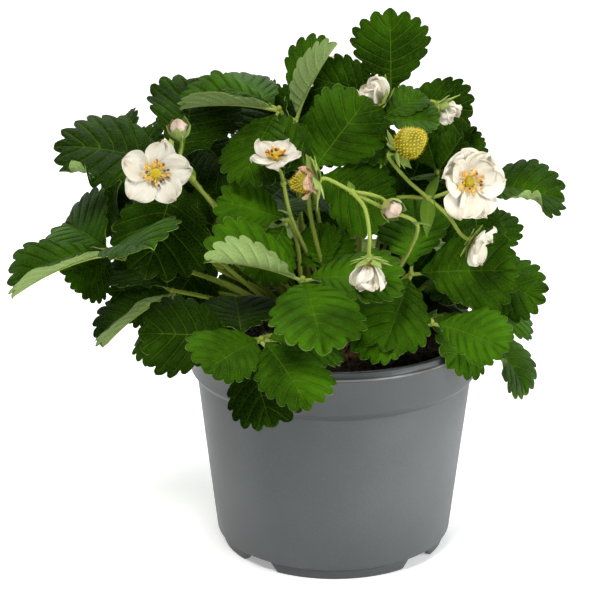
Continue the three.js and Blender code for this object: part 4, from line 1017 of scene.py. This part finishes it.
def addPetal(piece, centre, axes, turn, opening, size, tone, layer=0.0, rough=1.0):
    way, side, n = openAxes(axes, turn, opening)
    twist = dice.uniform(-9, 9) * rough
    side, n = spin(side, way, twist), spin(n, way, twist)
    turnOver = np.linspace(0.06, 1, petal["rows"])[:, None] * math.pi
    u = (1 - np.cos(turnOver)) / 2
    v = np.linspace(-1, 1, petal["columns"])[None]
    wobble = 1 + 0.035 * np.sin(6.2 * v + tone * 40)
    phases = dice.uniform(0, 6.28, 5)
    width = petal["halfWidth"] * dice.uniform(0.9, 1.06)
    half = width * np.sin(turnOver) ** 0.78 * (0.5 + 0.5 * np.clip(u / 0.5, 0, 1)) + petal["claw"] * (1 - u) * 0.5
    notch = petal["dent"] * np.exp(-((v - 0.25 * np.sin(phases[2])) / 0.2) ** 2)
    notch = notch + 0.02 * np.sin(5 * v + phases[3])
    reach = 0.1 + 0.92 * u * (1 - 0.07 * v ** 2 * u) * wobble - notch * u ** 4
    across = half * v
    ruffle = petal["ruffle"] * np.sin(6 * v + phases[0])
    ruffle = ruffle + petal["fineRuffle"] * np.sin(14 * v + 3 * u + phases[1])
    crease = petal["crease"] * np.sin(17 * v * (1 - 0.4 * u) + phases[4]) * u
    bowl = petal["cup"] * reach ** 2 + petal["curve"] * across ** 2 + petal["overlap"] * v * u
    height = bowl + rough * ruffle * u ** 2 + crease + layer + dice.uniform(-0.12, 0.04) * u ** 4
    grid = centre + size * (way * reach[..., None] + side * across[..., None] + n * height[..., None])
    slab(piece, grid, petal["thickness"], along=u + 0 * v, across=v + 0 * u, tone=tone)


def makePetals(bloom, finish):
    piece = Piece("along", "across", "tone")
    axes = headAxes(bloom)
    centre = vec(*bloom["at"])
    stain = 0.0 if bloom["open"] > halfOpen else 0.05
    rough = bloom["rough"]
    for turn, share in bloom["petals"]:
        turn = turn + dice.uniform(-5, 5) * rough
        opening = bloom["open"] + dice.uniform(-5, 4) * rough
        size = bloom["size"] * share * (1 + dice.uniform(-0.05, 0.03) * rough)
        addPetal(piece, centre, axes, turn, opening, size, stain + dice.uniform(0, 0.05), 0.0, rough)
    for turn in bloom["inner"]:
        turn = turn + dice.uniform(-8, 8)
        opening = bloom["open"] - dice.uniform(-2, 6)
        size = bloom["size"] * dice.uniform(0.72, 0.88)
        addPetal(piece, centre + axes[0] * 0.5, axes, turn, opening, size, dice.uniform(0, 0.05), 0.02, rough)
    points, faces = ball(8, 14)
    disc = points * petal["disc"] @ np.array([axes[1], axes[2], axes[0]])
    piece.add(centre + disc + axes[0] * 0.3, faces, along=0.05)
    return show(piece, bloom["name"] + "_corolla", finish, [bloom["name"] + "_petals"])


middle = {"rise": 1.15, "pistils": 90, "stamens": 30, "fewStamens": 10, "anther": (0.56, 0.42, 0.82)}


def makeMiddle(bloom, finish):
    # a dome of pistils inside a ring of stamens
    piece = Piece("tone")
    axes = headAxes(bloom)
    a, s, n = axes
    shut = bloom["open"] <= halfOpen
    size = bloom["size"] * bloom["middle"]
    centre = vec(*bloom["at"]) + a * 0.65
    points, faces = ball(10, 16)
    points[:, 2] = np.clip(points[:, 2], -0.05, 1) * middle["rise"]
    piece.add(centre + points @ np.array([s, n, a]) * size, faces, tone=0.0)
    count = middle["pistils"]
    i = np.arange(count) + 0.5
    rise = (1 - 0.92 * i / count)[:, None]
    out = around(i * goldenTurn, s, n) * np.sqrt(1 - rise ** 2)
    ways = unit(out + rise * a)
    spots = centre + (out + rise * a * middle["rise"]) * size
    first, second = anyAxes(ways)
    scatter(piece, ball(4, 6), spots + ways * 0.12, first * 0.24, second * 0.24, ways * 0.5, tone=0.05)
    stamens = middle["fewStamens"] if shut else middle["stamens"]
    for k in range(stamens):
        turn = 360 * k / stamens + dice.uniform(-9, 9)
        way = openAxes(axes, turn, bloom["lean"] + dice.uniform(-16, 16))
        length = size * bloom["stamen"] * dice.uniform(0.6, 1.15)
        foot = centre + openAxes(axes, turn, 90)[0] * size * 0.98
        path = np.stack([foot, foot + way[0] * length * 0.6, foot + way[0] * length + a * 0.15])
        tube(piece, path, [0.2, 0.16, 0.13], 5, tone=0.45)
        anther = [way[which][None] * width for which, width in zip((1, 2, 0), middle["anther"])]
        brown = 1.0 if dice.uniform() < bloom["brown"] else 0.82
        scatter(piece, ball(5, 7), path[-1:], *anther, tone=brown)
    nodes = [] if shut else [bloom["name"] + "_middle"]
    return show(piece, bloom["name"] + "_stamens", finish, nodes)


flesh = {"rows": 40, "sides": 48, "pit": 0.8, "swell": 0.30, "sink": 0.14, "grain": 0.075, "grainWidth": 0.66}


def fleshRadius(t, radius):
    return radius * np.sin(math.pi * t) ** 0.7 * (1.16 - 0.55 * t)


def makeBerry(berry, finish):
    # a young fruit with its seeds on a spiral, each in a shallow pit
    piece = Piece("seed", "tone")
    a, s, n = headAxes(berry)
    base = vec(*berry["at"]) - a * seat["fruitDrop"]
    length, count = berry["length"], berry["seeds"]
    seedT = 0.06 + 0.88 * (np.arange(count) + 0.5) / count + dice.uniform(-0.008, 0.008, count)
    seedTurn = np.arange(count) * goldenTurn + dice.uniform(-0.07, 0.07, count)
    t = np.linspace(0.002, 0.998, flesh["rows"])[:, None]
    turn = anglesRound(flesh["sides"])[None]
    radius = fleshRadius(t, berry["radius"]) + 0 * turn
    seedR = fleshRadius(seedT, berry["radius"])
    bodySpots = np.stack([radius * np.cos(turn), radius * np.sin(turn), length * t + 0 * turn], -1)
    seedSpots = np.stack([seedR * np.cos(seedTurn), seedR * np.sin(seedTurn), length * seedT], -1)
    near = np.linalg.norm(bodySpots[:, :, None] - seedSpots, axis=-1).min(-1)
    swell = flesh["swell"] * np.clip(near / flesh["pit"], 0, 1) ** 0.8 - flesh["sink"]
    grid = base + a * (length * t)[..., None] + around(turn, s, n) * (radius + swell)[..., None]
    turnedBody(piece, grid, [base, base + a * length], tone=0.15)
    slope = np.diff(fleshRadius(np.clip(seedT[:, None] + vec(-0.01, 0.01), 0, 1), berry["radius"]))
    outward = around(seedTurn, s, n)
    ways = unit(outward - a * slope / (0.02 * length))
    down = unit(a - ways * (ways @ a)[:, None])
    spots = base + a * seedSpots[:, 2:] + outward * (seedR[:, None] - 0.05)
    grain = flesh["grain"] * berry["radius"]
    flank = np.cross(ways, down) * grain * flesh["grainWidth"]
    scatter(piece, ball(4, 6), spots, down * grain, flank, ways * 0.42, seed=1.0)
    leanWays = unit(ways + down * 0.5 + dice.normal(0, 0.2, (count, 3)))
    first, second = anyAxes(leanWays)
    styles = spots + ways * 0.35 + leanWays * 0.35
    scatter(piece, ball(4, 4), styles, first * 0.09, second * 0.09, leanWays * 0.6, seed=0.75)
    return show(piece, berry["name"] + "_fruit", finish, [berry["name"]])


budShape = {"rows": 26, "sides": 40, "petals": 5, "twist": 1.1}


def makeBud(bud, finish):
    # closed petals wrapped over each other
    piece = Piece("along", "across")
    a, s, n = headAxes(bud)
    base = vec(*bud["at"]) - a * seat["fruitDrop"]
    t = np.linspace(0.002, 0.998, budShape["rows"])[:, None]
    turn = anglesRound(budShape["sides"])[None]
    wrap = (budShape["petals"] * turn / circle + budShape["twist"] * t) % 1.0
    radius = bud["radius"] * np.sin(math.pi * t ** 0.8) ** 0.7
    radius = radius * (0.93 + 0.13 * wrap * np.sin(math.pi * t)) + 0.12 * np.sin(9 * t + 5 * turn)
    height = bud["length"] * t + 0.25 * np.sin(5 * turn) * t
    grid = base + a * height[..., None] + around(turn, s, n) * radius[..., None]
    turnedBody(piece, grid, [base, base + a * bud["length"]],
               along=np.append(t + 0 * turn, [0, 1]), across=np.append(wrap, [0, 0]))
    return show(piece, bud["name"] + "_closed", finish, [bud["name"]])


dried = {
    "at": (-8.6, -60, 183), "facing": (188, -8), "petals": 6, "between": 72, "size": 9.5, "open": 62,
    "rough": 2.2,
}


def makeDriedPetals(finish):
    # the brown petals that still hang behind the youngest fruit
    piece = Piece("along", "across")
    axes = headAxes(dried)
    centre = vec(*dried["at"]) - axes[0] * 0.2
    for k in range(dried["petals"]):
        turn = dried["between"] * k + dice.uniform(-10, 10)
        opening = dried["open"] + dice.uniform(-16, 16)
        size = dried["size"] * dice.uniform(0.65, 0.95)
        addPetal(piece, centre, axes, turn, opening, size, 0.1, 0.02, dried["rough"])
    return show(piece, "dried_petals", finish)


# Pot: one turned wall with a rolled lip, a collar and four low feet
pot = {
    "rimRadius": 65, "rimHeight": 97.5, "crestHeight": 101, "lipWidth": 4.4, "wall": 1.6, "floor": 1.8,
    "creaseRadius": 60.9, "creaseHeight": 79.5, "baseRadius": 52.6, "baseHeight": 5.2, "footRadius": 49.8,
    "footWidth": 3, "footNotch": 12.5, "footSlope": 0.09, "notchTurn": 48.5,
    "holes": 8, "holeRadius": 3.5, "holeRing": 36, "sides": 288, "arcSteps": 7,
}


def arc(centre, radius, start, end, steps):
    turn = np.radians(np.linspace(start, end, steps))
    return [(centre[0] + radius * math.cos(t), centre[1] + radius * math.sin(t)) for t in turn]


def potProfile():
    # radius and height round the wall: under the floor, up the outside, over the lip and down inside
    rim, rimHeight, crest = pot["rimRadius"], pot["rimHeight"], pot["crestHeight"]
    crease, creaseHeight = pot["creaseRadius"], pot["creaseHeight"]
    foot, footIn, base = pot["footRadius"], pot["footRadius"] - pot["footWidth"], pot["baseHeight"]
    baseRadius, wall, steps = pot["baseRadius"], pot["wall"], pot["arcSteps"]
    lip, floorTop = pot["lipWidth"] / 2, base + pot["floor"]
    slope = (crease - baseRadius) / (creaseHeight - base)
    return [
        (0.01, base), (footIn - 0.5, base),
        *arc((footIn + 0.5, 0.5), 0.5, 180, 270, 4), *arc((foot - 0.5, 0.5), 0.5, 270, 360, 4),
        (foot + 0.25, base - 1.2), *arc((baseRadius - 1.2, base + 1.2), 1.2, 275, 355, steps),
        (crease - slope, creaseHeight - 1), (crease - 0.25, creaseHeight - 0.35),
        *arc((crease + 0.35, creaseHeight + 0.7), 0.75, 235, 290, 4),
        *arc((rim - 3, creaseHeight + 3.4), 1.6, 300, 360, steps),
        (rim - 1.3, creaseHeight + 5), (rim - 0.35, rimHeight - 0.8),
        *arc((rim - 0.55, rimHeight - 0.1), 0.55, -30, 80, steps),
        (rim - 0.95, rimHeight + 0.62), (rim - 1.35, rimHeight + 1),
        (rim - 1.62, rimHeight + 1.8), (rim - 1.75, rimHeight + 2.5),
        *arc((rim - lip - 0.85, crest - 2.05), 2.05, 55, 170, 2 * steps),
        (rim - 2.1 * wall - 1, rimHeight - 1.6), (rim - 2.3 * wall, creaseHeight + 4),
        (crease - wall, creaseHeight), (baseRadius + slope * (floorTop + 2 - base) - wall, floorTop + 2),
        *arc((baseRadius - wall - 1.6, floorTop + 1.8), 1.8, 0, -90, 5), (0.01, floorTop),
    ]


def makePot(finish):
    piece = Piece()
    profile = np.array(potProfile())
    base = pot["baseHeight"]
    turn = anglesRound(pot["sides"])
    aside = (turn - math.radians(pot["notchTurn"]) + circle / 8) % (circle / 4) - circle / 8
    lift = 1 - np.clip((np.abs(aside) - math.radians(pot["footNotch"] / 2)) / pot["footSlope"], 0, 1)
    radius, height = profile[:, :1] + 0 * turn, profile[:, 1:] + 0 * turn
    height = np.where(height < base - 0.01, height + (base - 0.12 - height) * lift * 0.985, height)
    grid = np.stack([radius * np.cos(turn), radius * np.sin(turn), height], -1)
    turnedBody(piece, grid, [vec(0, 0, profile[0][1]), vec(0, 0, profile[-1][1])])
    thing = show(piece, "nursery_pot", finish, ["pot"], sharp=32)
    drill = Piece()
    ring = [(pot["holeRing"] * math.cos(t), pot["holeRing"] * math.sin(t)) for t in anglesRound(pot["holes"])]
    for x, y in [(0, 0)] + ring:
        path = np.array([(x, y, base - 2), (x, y, base + pot["floor"] + 2)], float)
        tube(drill, path, [pot["holeRadius"]] * 2, 40)
    cutter = show(drill, "drill", finish)
    cut = thing.modifiers.new("holes", "BOOLEAN")
    cut.operation, cut.object, cut.solver = "DIFFERENCE", cutter, "EXACT"
    bpy.context.view_layer.update()
    thing.data = bpy.data.meshes.new_from_object(thing.evaluated_get(bpy.context.evaluated_depsgraph_get()))
    thing.data.name = "nursery_pot"
    thing.modifiers.clear()
    bpy.data.objects.remove(cutter)
    return thing


soil = {
    "height": 89.5, "bump": 1.0, "rings": 46, "sides": 150, "grain": 0.28, "fibres": 90,
    "crumbs": [(2600, 0.45, 1.2), (160, 1.4, 2.7)],
}


def soilHeight(x, y):
    lumps = np.sin(0.31 * x + 1.3) * np.cos(0.27 * y) + 0.6 * np.sin(0.7 * x + 0.5 * y)
    fine = 0.35 * np.sin(1.9 * x + 0.8 * y) * np.cos(1.7 * y - 0.6 * x) + 0.2 * np.sin(3.7 * x - 2.9 * y)
    return soil["height"] + soil["bump"] * (lumps + fine)


def makeSoil(finish):
    piece = Piece("tone")
    wall = pot["wall"]
    inner = pot["rimRadius"] - 2.1 * wall - 1.5
    turn = anglesRound(soil["sides"])[None]
    low = pot["baseHeight"] + pot["floor"] + 0.3
    sideRadii = [0.01, pot["baseRadius"] - wall - 2.2, pot["creaseRadius"] - wall - 0.7, inner]
    sideHeights = [low, low, pot["creaseHeight"], soil["height"] - 1.5]
    radius = np.append(sideRadii, np.linspace(inner - 0.4, 0.01, soil["rings"]))[:, None]
    x, y = radius * np.cos(turn), radius * np.sin(turn)
    z = np.concatenate([np.array(sideHeights)[:, None] + 0 * turn, soilHeight(x[4:], y[4:])])
    grain = dice.normal(0, soil["grain"], z.shape)
    grain[:5] = 0
    grain[-1] = 0
    z[-1] = z[-1].mean()
    points = np.stack([x, y, z + grain], -1).reshape(-1, 3)
    piece.add(points, [gridFaces(*z.shape, wrap=True)])
    for count, small, big in soil["crumbs"]:
        reach = inner * np.sqrt(dice.uniform(0, 1, count)) * 0.985
        angle = dice.uniform(0, circle, count)
        x, y = reach * np.cos(angle), reach * np.sin(angle)
        size = dice.uniform(small, big, count)[:, None]
        places = np.stack([x, y, soilHeight(x, y) + size[:, 0] * 0.25], -1)
        ways = unit(dice.normal(size=(count, 3)))
        first, second = anyAxes(ways)
        points, faces = ball(4, 5)
        points = points * (1 + dice.uniform(-0.22, 0.22, (len(points), 1)))
        scatter(piece, (points, faces), places, first * size, second * size * 0.75, ways * size * 0.6,
                tone=np.clip(dice.normal(0.12, 0.25, count), 0, 1))
    for _ in range(soil["fibres"]):
        reach, angle = inner * math.sqrt(dice.uniform()) * 0.93, dice.uniform(0, circle)
        start = vec(reach * math.cos(angle), reach * math.sin(angle), 0)
        way = dice.uniform(0, circle)
        length = dice.uniform(3, 8)
        t = np.linspace(0, 1, 6)[:, None]
        path = start + t * length * vec(math.cos(way), math.sin(way), 0)
        path = path + t * (1 - t) * dice.normal(0, 2.5, 3) * vec(1, 1, 0)
        path[:, 2] = soilHeight(path[:, 0], path[:, 1]) + 0.5
        tube(piece, path, np.linspace(0.3, 0.14, 6), 5, tone=0.9)
    return show(piece, "soil_filling", finish, ["soil"], sharp=70)


def makeCrown(finish):
    # the woody stock, with the dry sheaths of old leaves round it
    piece = Piece("tone")
    half, height, depth = crown["radius"], crown["height"], crown["depth"]
    t = np.linspace(0, 1, crown["rows"])[:, None]
    turn = anglesRound(crown["sides"])[None]
    radii, heights = (half * 0.5, half, half * 0.6, 0.3), (depth, height - 6.5, height - 1.2, height)
    radius = np.interp(3 * t, range(4), radii) * (1 + 0.05 * np.sin(11 * turn + 4 * t))
    z = np.interp(3 * t, range(4), heights) + 0.4 * np.sin(7 * turn + 9 * t) * (t < 0.97)
    grid = np.stack([radius * np.cos(turn), radius * np.sin(turn), z], -1)
    turnedBody(piece, grid, [vec(0, 0, depth), vec(0, 0, height + 0.1)], tone=0.1)
    u, v = net(7, 5)
    width = crown["sheathWidth"] * (1 - u ** 2.2) + 0.1
    for ring, (_, count, _, _) in enumerate(footRings):
        for slot in range(count):
            top, way, _ = footAt(ring, slot)
            for side in (-1, 1):
                angle = math.degrees(math.atan2(top[1], top[0]))
                angle = angle + side * crown["sheathTurn"] + dice.uniform(-15, 15)
                axes = axesOf(angle, crown["sheathPitch"] + dice.uniform(-12, 8), 0)
                length = dice.uniform(6, 10)
                grid = (top - way * 1.5 + axes[0] * (u * length)[..., None] + axes[1] * (v * width)[..., None]
                        - axes[2] * (1.3 * v ** 2 * (1 - u * 0.4) - 1.2)[..., None])
                slab(piece, grid, 0.3, tone=0.55 + dice.uniform(-0.25, 0.3))
    return show(piece, "crown_stock", finish, ["crown"])


# Studio: a pale floor that runs up into the backdrop, soft light from above and both sides
view = {"lens": 128.8, "sensor": 36, "pitch": 18.85, "place": (-15.1, -894.5, 416.9)}
studio = {
    "floor": rgb(0.95, 0.95, 0.95), "glow": 0.32, "farGlow": 0.8, "glowStart": 0.7, "glowEnd": 1.9, "world": 0.09,
    "bend": 1500, "near": -12000, "far": 3400, "half": 5900, "top": 5900,
    "lamps": [
        ("key", (-300, -640, 1150), (0, 0, 130), 420, 15, (1.0, 0.985, 0.96)),
        ("fill", (860, -420, 420), (0, 0, 100), 600, 8, (0.97, 0.985, 1.0)),
        ("crest", (60, 620, 1020), (0, 0, 160), 700, 6, (1.0, 1.0, 1.0)),
    ],
}


def makeStudio():
    floor = Finish("paleFloor", Specular_IOR_Level=0.2, Emission_Strength=1.0)
    away = floor.node("ShaderNodeVectorMath", {"operation": "LENGTH"}, {0: floor.where}, "Value")
    glow, farGlow = studio["glow"], studio["farGlow"]
    floor.give("Emission Color", floor.mix(away.step(studio["glowStart"], studio["glowEnd"]),
                                           rgb(glow, glow, glow), rgb(farGlow, farGlow, farGlow)))
    floor.give("Base Color", floor.mix(floor.noise(3.0) * 0.2, studio["floor"], rgb(0.90, 0.90, 0.905)))
    floor.give("Roughness", 0.8 + floor.noise(40.0) * 0.1)
    bend, far = studio["bend"], studio["far"]
    side = [(studio["near"], 0)]
    turns = np.linspace(0, circle / 4, 24)
    side += [(far - bend + bend * math.sin(t), bend - bend * math.cos(t)) for t in turns]
    side += [(far, studio["top"])]
    rows = np.array([[(x, y, z) for x in (-studio["half"], studio["half"])] for y, z in side], float)
    mesh = bpy.data.meshes.new("pale_floor")
    mesh.from_pydata((rows.reshape(-1, 3) * mm + potAxis).tolist(), [], gridFaces(len(side), 2).tolist())
    mesh.polygons.foreach_set("use_smooth", [True] * len(mesh.polygons))
    mesh.materials.append(floor.material)
    backdrop = bpy.data.objects.new("pale_floor", mesh)
    bpy.context.scene.collection.objects.link(backdrop)
    world = bpy.data.worlds.new("studio")
    world.use_nodes = True
    world.node_tree.nodes["Background"].inputs["Color"].default_value = rgb(1, 1, 1)
    world.node_tree.nodes["Background"].inputs["Strength"].default_value = studio["world"]
    bpy.context.scene.world = world
    bpy.context.scene.view_settings.view_transform = "Standard"
    for name, place, aim, size, power, colour in studio["lamps"]:
        light = bpy.data.lights.new(name, "AREA")
        light.shape, light.size, light.energy, light.color = "DISK", size * mm, power, colour
        lamp = bpy.data.objects.new(name, light)
        lamp.location = vec(*place) * mm + potAxis
        lamp.rotation_euler = Vector(vec(*aim) - vec(*place)).to_track_quat("-Z", "Y").to_euler()
        bpy.context.scene.collection.objects.link(lamp)


def makeCamera():
    data = bpy.data.cameras.new("view")
    data.sensor_width, data.lens = view["sensor"], view["lens"]
    data.clip_start, data.clip_end = 0.01, 20
    camera = bpy.data.objects.new("view", data)
    camera.location = vec(*view["place"]) * mm + potAxis
    camera.rotation_euler = (math.radians(90 - view["pitch"]), 0, 0)
    bpy.context.scene.collection.objects.link(camera)
    bpy.context.scene.camera = camera


def makePlant():
    green = makeGreen()
    grid = leafletGrid(leaflet["rowsPerTooth"], leaflet["columns"])
    youngGrid = leafletGrid(leaflet["youngRowsPerTooth"], leaflet["youngColumns"])
    for row in leafRows:
        makeLeaf(row, grid, green, [row["name"]])
    for row in youngRows:
        makeLeaf(row, youngGrid, green, [])
    print("leaves", len(leafRows), "and", len(youngRows), "triangles", shown["triangles"])
    for truss in trusses:
        makeTruss(truss, green)
    print("trusses", len(trusses), "triangles", shown["triangles"])
    # the second petal finish is the first made 1.3 times brighter: painted light for the blooms that would render
    # grey in shade
    white, fresh = makePetalFinish("petalWhite", 1.0), makePetalFinish("petalBrightForShade", 1.3)
    yellow = makeStamenFinish()
    for bloom in blooms:
        makePetals(bloom, fresh if bloom["fresh"] else white)
        makeMiddle(bloom, yellow)
    print("blooms", len(blooms), "triangles", shown["triangles"])
    budFinish = makeBudFinish("budPetals", *budColours["fresh"], 0.55)
    for bud in buds:
        makeBud(bud, budFinish)
    fruit = makeBerryFinish()
    for berry in berries:
        makeBerry(berry, fruit)
    makeDriedPetals(makeBudFinish("driedPetals", *budColours["dried"], 0.7))
    print("buds, fruit and dried petals, triangles", shown["triangles"])


makeStudio()
makeCamera()
makePot(makePotFinish())
makeSoil(makeSoilFinish())
makeCrown(makeCrownFinish())
print("pot, soil and crown, triangles", shown["triangles"])
makePlant()
